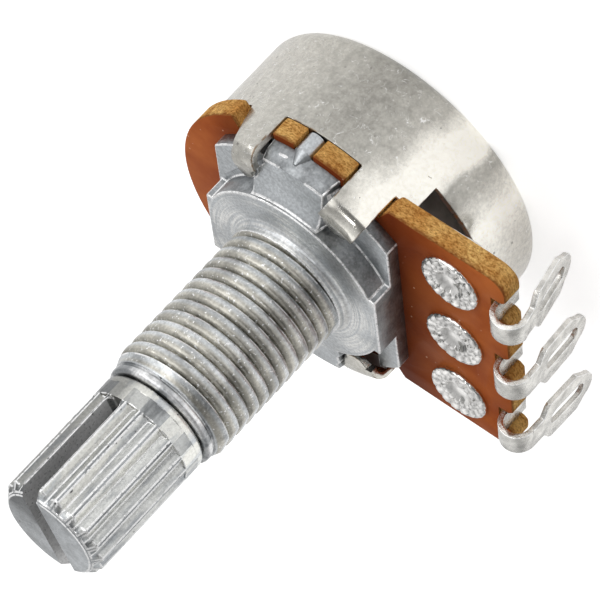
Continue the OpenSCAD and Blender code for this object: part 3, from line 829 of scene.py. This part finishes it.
def noise(tree, per_mm, detail=3, roughness=0.55, stretch=None, distortion=0):
    """A noise pattern in object space, with a scale in features per millimetre."""
    texture = add_node(tree, "TexNoise")
    settings = {"Scale": per_mm / MM, "Detail": detail, "Roughness": roughness,
                "Distortion": distortion}
    for name, value in settings.items():
        texture.inputs[name].default_value = value
    source = add_node(tree, "TexCoord").outputs["Object"]
    if stretch:
        mapping = add_node(tree, "Mapping")
        mapping.inputs["Scale"].default_value = stretch
        tree.links.new(source, mapping.inputs["Vector"])
        source = mapping.outputs["Vector"]
    tree.links.new(source, texture.inputs["Vector"])
    return texture.outputs["Fac"]


def ramp(tree, value, low, high, low_at=0.35, high_at=0.65):
    """Maps a value to a colour or grey between two ends."""
    node = add_node(tree, "ValToRGB")
    first, last = node.color_ramp.elements
    first.position, last.position = low_at, high_at
    first.color = low if isinstance(low, tuple) else (low, low, low, 1)
    last.color = high if isinstance(high, tuple) else (high, high, high, 1)
    tree.links.new(value, node.inputs["Fac"])
    return node.outputs["Color"]


def mix_colour(tree, factor, first, second, blend="MIX"):
    node = add_node(tree, "Mix")
    node.data_type = "RGBA"
    node.blend_type = blend
    ends = [s for s in node.inputs if s.type == "RGBA"]
    for socket, value in ((node.inputs["Factor"], factor), (ends[0], first), (ends[1], second)):
        set_or_link(tree, socket, value)
    return [s for s in node.outputs if s.type == "RGBA"][0]


def multiplied(tree, first, second):
    """One colour times another."""
    return mix_colour(tree, 1, first, second, "MULTIPLY")


def patches(tree, per_mm, low, high, low_at=0.35, high_at=0.65, detail=4):
    """Soft patches of two colours or greys, from a noise pattern."""
    return ramp(tree, noise(tree, per_mm, detail=detail), low, high, low_at, high_at)


def arithmetic(tree, operation, first, second=0):
    node = add_node(tree, "Math")
    node.operation = operation
    set_or_link(tree, node.inputs[0], first)
    set_or_link(tree, node.inputs[1], second)
    return node.outputs["Value"]


def product(tree, first, second):
    return arithmetic(tree, "MULTIPLY", first, second)


def attribute(tree, name):
    node = add_node(tree, "Attribute")
    node.attribute_type = "GEOMETRY"
    node.attribute_name = name
    return node.outputs["Fac"]


def place_mm(tree, axis):
    """One coordinate of the point, in millimetres in the part's frame."""
    split = add_node(tree, "SeparateXYZ")
    tree.links.new(add_node(tree, "TexCoord").outputs["Object"], split.inputs["Vector"])
    return product(tree, split.outputs[axis], 1 / MM)


def turn_degrees(tree):
    """The direction of the point round the shaft, in degrees from the lug side."""
    turn = arithmetic(tree, "ARCTAN2", place_mm(tree, "Y"), place_mm(tree, "X"))
    return product(tree, turn, math.degrees(1))


def curve(tree, value, points):
    """A float curve through a few points, joined by straight lines in a colour ramp."""
    low, high = points[0][0], points[-1][0]
    scaled = add_node(tree, "MapRange")
    scaled.inputs["From Min"].default_value = low
    scaled.inputs["From Max"].default_value = high
    tree.links.new(value, scaled.inputs["Value"])
    node = add_node(tree, "ValToRGB")
    elements = node.color_ramp.elements
    while len(elements) < len(points):
        elements.new(0.5)
    for element, (at, level) in zip(elements, points):
        element.position = (at - low) / (high - low)
        element.color = (level, level, level, 1)
    tree.links.new(scaled.outputs["Result"], node.inputs["Fac"])
    return node.outputs["Color"]


def ring_grain(tree, per_mm):
    """Fine concentric lines round the shaft, as a turning tool or a finger leaves them."""
    squared = [arithmetic(tree, "POWER", place_mm(tree, axis), 2) for axis in ("X", "Y")]
    squares = arithmetic(tree, "ADD", *squared)
    join = add_node(tree, "CombineXYZ")
    tree.links.new(arithmetic(tree, "SQRT", squares), join.inputs["X"])
    tree.links.new(place_mm(tree, "Z"), join.inputs["Y"])
    tree.links.new(product(tree, turn_degrees(tree), 0.002), join.inputs["Z"])
    texture = add_node(tree, "TexNoise")
    texture.inputs["Scale"].default_value = per_mm
    texture.inputs["Detail"].default_value = 3
    tree.links.new(join.outputs["Vector"], texture.inputs["Vector"])
    return texture.outputs["Fac"]


def hairlines(tree, per_mm, width, stretch=None):
    """Thin curved scratches: the places where a stretched noise passes its middle value."""
    field = noise(tree, per_mm, detail=2, stretch=stretch, distortion=1.2)
    away = arithmetic(tree, "ABSOLUTE", arithmetic(tree, "SUBTRACT", field, 0.5))
    line = ramp(tree, away, 1, 0, 0, width)
    broken = patches(tree, per_mm * 2.3, 0, 1, 0.50, 0.58, detail=3)
    return multiplied(tree, line, broken)


def worn_edges(tree, pattern):
    """The rounded edges, as far as a pattern leaves them rubbed."""
    return product(tree, attribute(tree, WORN), pattern)


def feed(tree, shader, **values):
    """Links values to the shader's sockets; Base stands for Base Color."""
    for name, value in values.items():
        tree.links.new(value, shader.inputs[name.replace("Base", "Base Color")])


def bump(tree, shader, height, strength, distance_mm):
    node = add_node(tree, "Bump")
    node.inputs["Strength"].default_value = strength
    node.inputs["Distance"].default_value = distance_mm * MM
    tree.links.new(height, node.inputs["Height"])
    tree.links.new(node.outputs["Normal"], shader.inputs["Normal"])


def grey(value, tint=(1, 1, 1)):
    return (*(value * part for part in tint), 1)


print("node helpers ready")

# %% [markdown]
# ## Cast zinc
# A die-casting has a dull skin with a cold tint, full of tiny sparkles. On the thread each ridge has a
# painted highlight along its rear shoulder, and painted shade on its front flank, which is warmer and
# darker. The thread's own winding gives the place of both: the height in the pitch, less the share
# of a turn that the point lies round.

# %% Make the zinc
BLUISH = (0.96, 1, 1.03)
OLIVE = (1.04, 1, 0.88)
# Place in the thread's profile, and how much of the front flank's painted shade or the shoulder's
# painted highlight is there
PAINTED_FRONT_FLANK_SHADE = ((0, 0.8), (0.10, 0), (0.38, 0.1), (0.62, 0.9), (0.96, 1), (1, 0.8))
PAINTED_SHOULDER_HIGHLIGHT = ((0, 0), (0.09, 0), (0.12, 1), (0.19, 1), (0.23, 0), (1, 0))
# Height in mm, and whether the thread, the boss or the bead at the mouth is there
ON_THREAD = ((-1, 0), (0.5, 0), (0.62, 1), (9.5, 1), (9.6, 0), (11, 0))
ON_BOSS = ((-1, 0), (-0.12, 0), (-0.05, 1), (0.5, 1), (0.6, 0), (1, 0))
ON_BEAD = ((0, 0), (9.6, 0), (9.65, 1), (10.3, 1))


def thread_phase(tree):
    """How far the point is along the profile of the thread: 0 in one root, 1 in the next."""
    above = arithmetic(tree, "SUBTRACT", place_mm(tree, "Z"), ROOT_HEIGHT)
    ahead = arithmetic(tree, "SUBTRACT", turn_degrees(tree), ROOT_TURN)
    turns = arithmetic(
        tree, "SUBTRACT", product(tree, above, 1 / PITCH), product(tree, ahead, 1 / 360)
    )
    return arithmetic(tree, "FRACT", turns)


def plate_tone(tree, rings):
    """The plate: soft patches, walls darker with painted shade, bright rings on the boss as a painted
    highlight, and the bead at the bushing's mouth in patches of painted highlight and shade.
    """
    skin = patches(tree, 0.35, grey(0.50, BLUISH), grey(0.62, BLUISH), 0.38, 0.62)
    # Painted shade: the upright walls are darker than the faces.
    walls = patches(tree, 1.1, grey(0.21, BLUISH), grey(0.34, BLUISH), 0.38, 0.62)
    tone = mix_colour(tree, attribute(tree, WALL_SHADE), skin, walls)
    # Painted highlight: the rings turned on the boss are painted near-white in patches.
    turned = product(tree, ramp(tree, rings, 0.1, 0.85, 0.40, 0.62),
                     patches(tree, 0.4, 0.2, 1, 0.42, 0.56, detail=3))
    turned = product(tree, turned, curve(tree, place_mm(tree, "Z"), ON_BOSS))
    tone = mix_colour(tree, turned, tone, grey(0.98, (1, 0.99, 0.96)))
    # Painted highlight and shade: the bead at the mouth runs in patches from dark bluish to bright.
    bead = patches(tree, 0.7, grey(0.30, BLUISH), grey(0.85), 0.42, 0.60)
    return mix_colour(tree, curve(tree, place_mm(tree, "Z"), ON_BEAD), tone, bead)


def ridge_tone(tree, phase):
    """The thread: painted shade on the front flanks, warmer and darker, and patches where fingers have
    rubbed it.
    """
    # Painted shade: the front flank of each ridge is darker and warmer.
    flank_shade = curve(tree, phase, PAINTED_FRONT_FLANK_SHADE)
    tone = mix_colour(tree, flank_shade, grey(0.66, BLUISH), grey(0.50, OLIVE))
    return multiplied(tree, tone, patches(tree, 0.6, 0.70, 1.10, 0.40, 0.60))


def cast_zinc():
    material, tree, shader = fresh_material("cast zinc")
    phase = thread_phase(tree)
    rings = ring_grain(tree, 7)
    on_thread = curve(tree, place_mm(tree, "Z"), ON_THREAD)
    tone = mix_colour(tree, on_thread, plate_tone(tree, rings), ridge_tone(tree, phase))
    tone = multiplied(tree, tone, patches(tree, 7, 0.82, 1.12, 0.36, 0.64, detail=3))
    sparkle = patches(tree, 6, 0, 1, 0.66, 0.70, detail=1)
    more_on_thread = arithmetic(tree, "ADD", product(tree, on_thread, 0.7), 0.1)
    tone = mix_colour(tree, product(tree, sparkle, more_on_thread), tone, grey(0.95))
    # Painted highlight: a bright line along the rear shoulder of each ridge, broken by noise.
    shoulder_highlight = product(tree, curve(tree, phase, PAINTED_SHOULDER_HIGHLIGHT), on_thread)
    shoulder_highlight = product(tree, shoulder_highlight, patches(tree, 1.1, 0.05, 1, 0.45, 0.52))
    # Rounded edges are painted near-white with less metal: wear, and a painted highlight.
    wear_and_painted_highlight = worn_edges(tree, patches(tree, 4.5, 0.35, 1, 0.36, 0.52, detail=2))
    wear_and_painted_highlight = arithmetic(tree, "MAXIMUM", wear_and_painted_highlight, shoulder_highlight)
    grain = noise(tree, 6, detail=4, roughness=0.7)
    feed(
        tree, shader,
        Base=mix_colour(tree, wear_and_painted_highlight, tone, grey(0.98)),
        Metallic=mix_colour(tree, wear_and_painted_highlight, grey(1), grey(0.30)),
        Roughness=mix_colour(tree, wear_and_painted_highlight, ramp(tree, grain, 0.28, 0.44), grey(0.16)),
    )
    bump(tree, shader, mix_colour(tree, 0.45, grain, rings), 0.5, 0.035)
    return material


zinc = cast_zinc()
print(zinc.name, "nodes:", len(zinc.node_tree.nodes))

# %% [markdown]
# ## Shaft zinc
# On the knurl the narrow lands are dark, the walls of the grooves are pale and creamy, and each edge
# between them is a bright line of wear and painted highlight. One wall of each groove and the
# collar's facets carry painted shade and painted reflections, and the shaft is painted darker on one
# side as shade. The tip is a mottled blue-grey.

# %% Make the shaft's finish
# Direction round the shaft at rest in degrees, and how much of the colour is kept there under the
# painted shade on one side
PAINTED_SIDE_SHADE = (
    (-180, 0.7), (-60, 0.95), (0, 1), (60, 0.88), (75, 0.78), (98, 0.72), (112, 0.34),
    (150, 0.30), (180, 0.7),
)
# Height in mm, and whether the tip is there
ON_TIP = ((10, 0), (17.6, 0), (18, 1), (18.3, 1))


def shaft_tone(tree, inside):
    """Pale walls, dark lands and a mottled tip, all darker on one side with painted shade."""
    streaks = noise(tree, 1.6, detail=4, stretch=(1, 1, 0.25))
    walls = ramp(tree, streaks, grey(0.66, BLUISH), grey(0.94, (1, 0.995, 0.94)), 0.38, 0.54)
    lands = ramp(tree, streaks, grey(0.20, BLUISH), grey(0.46, BLUISH), 0.40, 0.60)
    tone = mix_colour(tree, attribute(tree, LAND_AND_PAINTED_SHADE), walls, lands)
    tip = patches(tree, 1.2, grey(0.44, BLUISH), grey(0.64, BLUISH))
    tone = mix_colour(tree, curve(tree, place_mm(tree, "Z"), ON_TIP), tone, tip)
    # Painted shade: the colour is darker on one side of the shaft, by the direction round it.
    tone = multiplied(tree, tone, curve(tree, turn_degrees(tree), PAINTED_SIDE_SHADE))
    tone = mix_colour(tree, inside, tone, ramp(tree, streaks, grey(0.50), grey(0.62)))
    tone = multiplied(tree, tone, patches(tree, 7, 0.90, 1.08, 0.36, 0.64, detail=2))
    specks = patches(tree, 1.9, 0, 1, 0.74, 0.76, detail=1)
    return mix_colour(tree, specks, tone, grey(0.14))


def shaft_zinc():
    material, tree, shader = fresh_material("shaft zinc")
    inside = attribute(tree, INSIDE)
    tone = shaft_tone(tree, inside)
    # Rounded edges are painted near-white with less metal: wear, and a painted highlight.
    wear_and_painted_highlight = worn_edges(tree, patches(tree, 5, 0.1, 1, 0.34, 0.46, detail=3))
    bare = mix_colour(tree, inside, grey(1), grey(0.5))
    grain = noise(tree, 6, detail=4, roughness=0.7)
    feed(
        tree, shader,
        Base=mix_colour(tree, wear_and_painted_highlight, tone, grey(0.96)),
        Metallic=mix_colour(tree, wear_and_painted_highlight, bare, grey(0.45)),
        Roughness=mix_colour(tree, wear_and_painted_highlight, ramp(tree, grain, 0.24, 0.42), grey(0.15)),
    )
    bump(tree, shader, grain, 0.35, 0.020)
    return material


shaft_finish = shaft_zinc()
print(shaft_finish.name, "nodes:", len(shaft_finish.node_tree.nodes))

# %% [markdown]
# ## Tin plate
# The cover's tone runs in broad belts round the cup, from dull grey to creamy: a painted reflection,
# and the polish of the plating, which sets its roughness, follows the same belts. Hairline scratches
# and small dark specks lie in them. The cut edges of the sheet show brown steel, grime sits on the
# rolled ones, and the inside of the cup is plain and pale. The belts follow the direction round the
# shaft, and noise breaks them up.

# %% Make the tin plate
# Direction round the shaft in degrees, and how polished the plating is there, which also sets the
# painted reflection
PAINTED_REFLECTION_BELTS = (
    (-180, 0.50), (-60, 0.62), (0, 0.62), (13, 0.66), (26, 0.95), (35, 0.62), (40, 0.38),
    (45, 0.42), (50, 1), (61, 1), (69, 0.42), (82, 0.26), (94, 0.33), (106, 0.44),
    (125, 0.50), (150, 0.46), (180, 0.50),
)
SMEAR_DEGREES = 30
TIN_IN_PAINTED_SHADE = (1, 0.96, 0.86)
TIN_IN_PAINTED_LIGHT = (1, 0.972, 0.895)
GRIME = (0.20, 0.13, 0.075, 1)
BARE_STEEL = (0.42, 0.19, 0.08, 1)


def polish_and_reflection_belts(tree):
    """How much polish the plating has, and its painted reflection: belts round the cup, pushed about
    and broken up by noise.
    """
    smear = noise(tree, 0.16, detail=3, roughness=0.5, distortion=0.3)
    push = product(tree, arithmetic(tree, "SUBTRACT", smear, 0.5), SMEAR_DEGREES)
    belts = curve(tree, arithmetic(tree, "ADD", turn_degrees(tree), push), PAINTED_REFLECTION_BELTS)
    broken = ramp(tree, noise(tree, 2.4, detail=6, roughness=0.75), 0, 1, 0.36, 0.64)
    return mix_colour(tree, 0.13, belts, broken)


def tin_plate():
    material, tree, shader = fresh_material("tin plate")
    polish_and_painted_reflection = polish_and_reflection_belts(tree)
    # Painted reflection: the tone runs from dull grey to creamy along the belts.
    tone = ramp(tree, polish_and_painted_reflection, grey(0.17, TIN_IN_PAINTED_SHADE), grey(0.97, TIN_IN_PAINTED_LIGHT), 0.12, 0.88)
    tone = multiplied(tree, tone, patches(tree, 6, 0.92, 1.06, 0.36, 0.64, detail=3))
    scratches = hairlines(tree, 1.1, 0.009)
    tone = mix_colour(tree, mix_colour(tree, 0.75, grey(0), scratches), tone, grey(1))
    # Small dark specks in the plating.
    dark_specks = patches(tree, 2.2, 0, 0.8, 0.71, 0.74, detail=2)
    tone = mix_colour(tree, dark_specks, tone, grey(0.26, (1, 0.95, 0.88)))
    inner = attribute(tree, INNER)
    tone = mix_colour(tree, inner, tone, grey(0.92))
    tone = mix_colour(tree, worn_edges(tree, patches(tree, 1.5, 0, 0.8, 0.50, 0.60)), tone, GRIME)
    edge = product(tree, attribute(tree, CUT), patches(tree, 3, 0.3, 1, detail=3))
    tone = mix_colour(tree, edge, tone, BARE_STEEL)
    bare = mix_colour(tree, inner, grey(1), grey(0.4))
    feed(
        tree, shader, Base=tone, Metallic=mix_colour(tree, edge, bare, grey(0.2)),
        Roughness=ramp(tree, polish_and_painted_reflection, 0.36, 0.17, 0.2, 0.8),
    )
    bump(tree, shader, mix_colour(tree, 0.4, noise(tree, 4, detail=4), scratches), 0.3, 0.012)
    return material


tin = tin_plate()
print(tin.name, "nodes:", len(tin.node_tree.nodes))

# %% [markdown]
# ## Tinned lugs and rivets, and the small inner metals
# The lugs are silver-white and grainy, with bright sheared edges. The rivets are the brightest
# surface of the part. The spring and the printed silver are seen only when the part is apart.

# %% Make the small metals
def plain_metal(name, dark, light, rough_low, rough_high, grain, depth, tint=(1, 1, 1)):
    material, tree, shader = fresh_material(name)
    tone = patches(tree, 1.4, grey(dark, tint), grey(light, tint), 0.36, 0.64)
    # Rounded edges are painted brighter: wear, and a painted highlight.
    wear_and_painted_highlight = worn_edges(tree, patches(tree, 5, 0.2, 1, detail=3))
    shader.inputs["Metallic"].default_value = 1
    fine = noise(tree, grain, detail=4, roughness=0.7)
    feed(
        tree, shader, Base=mix_colour(tree, wear_and_painted_highlight, tone, grey(0.97)),
        Roughness=ramp(tree, fine, rough_low, rough_high),
    )
    bump(tree, shader, fine, 0.5, depth)
    return material


lug_tin = plain_metal("lug tin", 0.50, 0.86, 0.18, 0.36, 7, 0.040, (1, 0.98, 0.93))
rivet_tin = plain_metal("rivet tin", 0.66, 1, 0.10, 0.24, 3, 0.022, (1, 0.985, 0.96))
bronze = plain_metal("spring bronze", 0.55, 0.72, 0.2, 0.4, 4, 0.004, (1, 0.80, 0.45))
silver = plain_metal("silver ink", 0.62, 0.78, 0.35, 0.55, 6, 0.006)
print("small metals:", [m.name for m in (lug_tin, rivet_tin, bronze, silver)])

# %% [markdown]
# ## Board finish
# The lacquered faces are a deep orange-brown with a few pale specks of dust, and painted shade
# darkens them beside the casting. The side walls are torn paper: short golden fibres on brown, with a
# ragged brown line where the face's resin has run over the edge.

# %% Make the board
BOARD_FRONT_Z = -2
# Place towards the lugs in mm, and how much painted shade darkens the lacquer beside the casting there
PAINTED_SHADE_BY_PLATE = ((-6.5, 0), (-5.2, 0.55), (5.2, 0.95), (7.6, 0.35), (9.8, 0))
RUN_OVER = ((BOARD_FRONT_Z, 0), (BOARD_FRONT_Z + 0.18, 1))


def board_face(tree):
    tone = patches(tree, 0.3, (0.33, 0.070, 0.016, 1), (0.50, 0.140, 0.036, 1), detail=5)
    # Painted shade: the lacquer darkens beside the casting.
    dark = curve(tree, place_mm(tree, "X"), PAINTED_SHADE_BY_PLATE)
    tone = mix_colour(tree, dark, tone, (0.13, 0.024, 0.007, 1))
    specks = patches(tree, 3, 0, 0.7, 0.74, 0.76, detail=1)
    return mix_colour(tree, specks, tone, (0.70, 0.42, 0.28, 1))


def board_side(tree, fibres):
    tone = ramp(tree, fibres, (0.34, 0.120, 0.022, 1), (0.98, 0.66, 0.25, 1), 0.34, 0.62)
    slow = patches(tree, 0.9, (0.82, 0.62, 0.45, 1), (1.12, 1.08, 1, 1), detail=3)
    tone = multiplied(tree, tone, slow)
    ragged = arithmetic(tree, "ADD", place_mm(tree, "Z"), product(tree, noise(tree, 3), 0.5))
    resin = mix_colour(tree, 0.8, grey(0), curve(tree, ragged, RUN_OVER))
    return mix_colour(tree, resin, tone, (0.22, 0.055, 0.016, 1))


def phenolic():
    material, tree, shader = fresh_material("phenolic paper")
    fibres = noise(tree, 7.5, detail=5, roughness=0.75, stretch=(0.7, 0.7, 1.5))
    cut = attribute(tree, CUT)
    tone = mix_colour(tree, cut, board_face(tree), board_side(tree, fibres))
    feed(tree, shader, Base=tone, Roughness=mix_colour(tree, cut, grey(0.30), grey(0.62)))
    shader.inputs["Specular IOR Level"].default_value = 0.01
    bump(tree, shader, product(tree, fibres, cut), 0.9, 0.10)
    return material


board_finish = phenolic()
print(board_finish.name, "nodes:", len(board_finish.node_tree.nodes))

# %% [markdown]
# ## Moulded and printed parts
# The rotor moulding is painted a light grey, painted light that lifts the shade inside the cover's
# window. The track is dull carbon ink, and the washer is natural nylon.

# %% Make the plain finishes
def plain(name, low, high, roughness, scale=1.5, depth=0.004):
    material, tree, shader = fresh_material(name)
    pattern = noise(tree, scale, detail=4)
    feed(tree, shader, Base=ramp(tree, pattern, low, high))
    shader.inputs["Roughness"].default_value = roughness
    bump(tree, shader, pattern, 0.3, depth)
    return material


# Painted light: the moulding is a lighter grey, to lift the shade inside the cover.
moulding = plain("black moulding", (0.34, 0.325, 0.30, 1), (0.46, 0.44, 0.41, 1), 0.45)
carbon = plain("carbon ink", (0.01, 0.01, 0.011, 1), (0.025, 0.025, 0.027, 1), 0.6, scale=5)
nylon = plain("washer nylon", (0.60, 0.56, 0.44, 1), (0.72, 0.68, 0.56, 1), 0.4)
print("plain finishes:", [m.name for m in (moulding, carbon, nylon)])

# %% Give each piece its finish
def finish_piece(piece, material):
    piece.data.materials.clear()
    piece.data.materials.append(material)


for piece, material in ((casting, zinc), (cover, tin), (board, board_finish), (shaft, shaft_finish)):
    finish_piece(piece, material)
for lug in lugs:
    finish_piece(lug, lug_tin)
for rivet in rivets:
    finish_piece(rivet, rivet_tin)
CARRIED = {
    "resistive_track": carbon, "end_pad_first": silver, "end_pad_last": silver,
    "collector_ring": silver, "rotor": moulding, "contact_spring": bronze, "thrust_washer": nylon,
}
for name, material in CARRIED.items():
    finish_piece(nodes[name], material)
print("carried nodes dressed:", sorted(CARRIED))

# %% [markdown]
# ## Floor and light
# The photograph has a pure white ground. The floor is pale, and it adds a little light of its own
# for camera, mirror and glass rays only, so it reads white without lighting the part. One lamp is
# large and soft, and two small weak ones put glints on the metal.

# %% Stage
FLOOR_SIZE = 3
FLOOR_GLOW = 0.62
MIRRORED_GLOW = 0.42
FLOOR_GREY = 0.82
FLOOR_GAP = 0.01 * MM


def pale_floor():
    material, tree, shader = fresh_material("pale floor")
    output = [n for n in tree.nodes if n.type == "OUTPUT_MATERIAL"][0]
    tree.nodes.remove(shader)
    diffuse = add_node(tree, "BsdfDiffuse")
    diffuse.inputs["Color"].default_value = grey(FLOOR_GREY)
    glow = add_node(tree, "Emission")
    rays = add_node(tree, "LightPath")
    bounced = [rays.outputs[f"Is {kind} Ray"] for kind in ("Glossy", "Transmission")]
    mirrored = product(tree, arithmetic(tree, "MAXIMUM", *bounced), MIRRORED_GLOW)
    direct = product(tree, rays.outputs["Is Camera Ray"], FLOOR_GLOW)
    tree.links.new(arithmetic(tree, "ADD", mirrored, direct), glow.inputs["Strength"])
    both = add_node(tree, "AddShader")
    tree.links.new(diffuse.outputs["BSDF"], both.inputs[0])
    tree.links.new(glow.outputs["Emission"], both.inputs[1])
    tree.links.new(both.outputs["Shader"], output.inputs["Surface"])
    return material


deselect_all()
bpy.ops.mesh.primitive_plane_add(size=FLOOR_SIZE, location=(0, 0, cad_low[2] - FLOOR_GAP))
floor = bpy.context.object
floor.name = "floor"
floor.data.materials.append(pale_floor())
floor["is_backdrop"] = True
print("floor at mm:", round(floor.location.z / MM, 2))


def area_lamp(name, at_mm, size_mm, watts):
    """A round lamp that looks at the part."""
    lamp_data = bpy.data.lights.new(name, "AREA")
    lamp_data.shape = "DISK"
    lamp_data.size = size_mm * MM
    lamp_data.energy = watts
    lamp = bpy.data.objects.new(name, lamp_data)
    bpy.context.scene.collection.objects.link(lamp)
    place = Vector(at_mm) * MM
    lamp.location = place
    lamp.rotation_euler = (-place).to_track_quat("-Z", "Y").to_euler()
    return lamp


area_lamp("key", (-120, 420, 200), 420, 0.75)
area_lamp("glint", (180, 330, 260), 50, 0.10)
area_lamp("glint_low", (-330, 260, 60), 50, 0.07)

# Direction round and above the part in degrees, strength, and the cosines where a glow starts and
# is full
GLOWS = (
    (240, 35, 0.55, 0.30, 0.95), (150, 10, 0.55, 0.6, 0.97), (0, 85, 0.40, 0.5, 0.98),
    (330, 5, 0.55, 0.8, 0.98),
)
WORLD_BASE = 0.16


def soft_world():
    """A dim studio with a few large soft glows, so that bare metal has light and dark to mirror."""
    world = bpy.data.worlds.new("studio")
    bpy.context.scene.world = world
    world.use_nodes = True
    tree = world.node_tree
    direction = add_node(tree, "TexCoord").outputs["Generated"]
    total = WORLD_BASE
    for turn, rise, strength, start, full in GLOWS:
        turn, rise = math.radians(turn), math.radians(rise)
        towards = (math.cos(rise) * math.cos(turn), math.cos(rise) * math.sin(turn), math.sin(rise))
        facing = add_node(tree, "VectorMath")
        facing.operation = "DOT_PRODUCT"
        tree.links.new(direction, facing.inputs[0])
        facing.inputs[1].default_value = towards
        glow = add_node(tree, "MapRange")
        glow.interpolation_type = "SMOOTHSTEP"
        glow.inputs["From Min"].default_value = start
        glow.inputs["From Max"].default_value = full
        glow.inputs["To Max"].default_value = strength
        tree.links.new(facing.outputs["Value"], glow.inputs["Value"])
        total = arithmetic(tree, "ADD", glow.outputs["Result"], total)
    tree.links.new(total, tree.nodes["Background"].inputs["Strength"])
    tree.nodes["Background"].inputs["Color"].default_value = (1, 1, 1, 1)


soft_world()
bpy.context.scene.view_settings.view_transform = "Standard"

# %% [markdown]
# ## Size of the dressed part
# The dressed part must stay inside the box of the CAD model; its box is printed here in millimetres.

# %% Write the sizes
low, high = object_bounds()
print("visual box mm:", [round(v / MM, 2) for v in (*low, *high)])
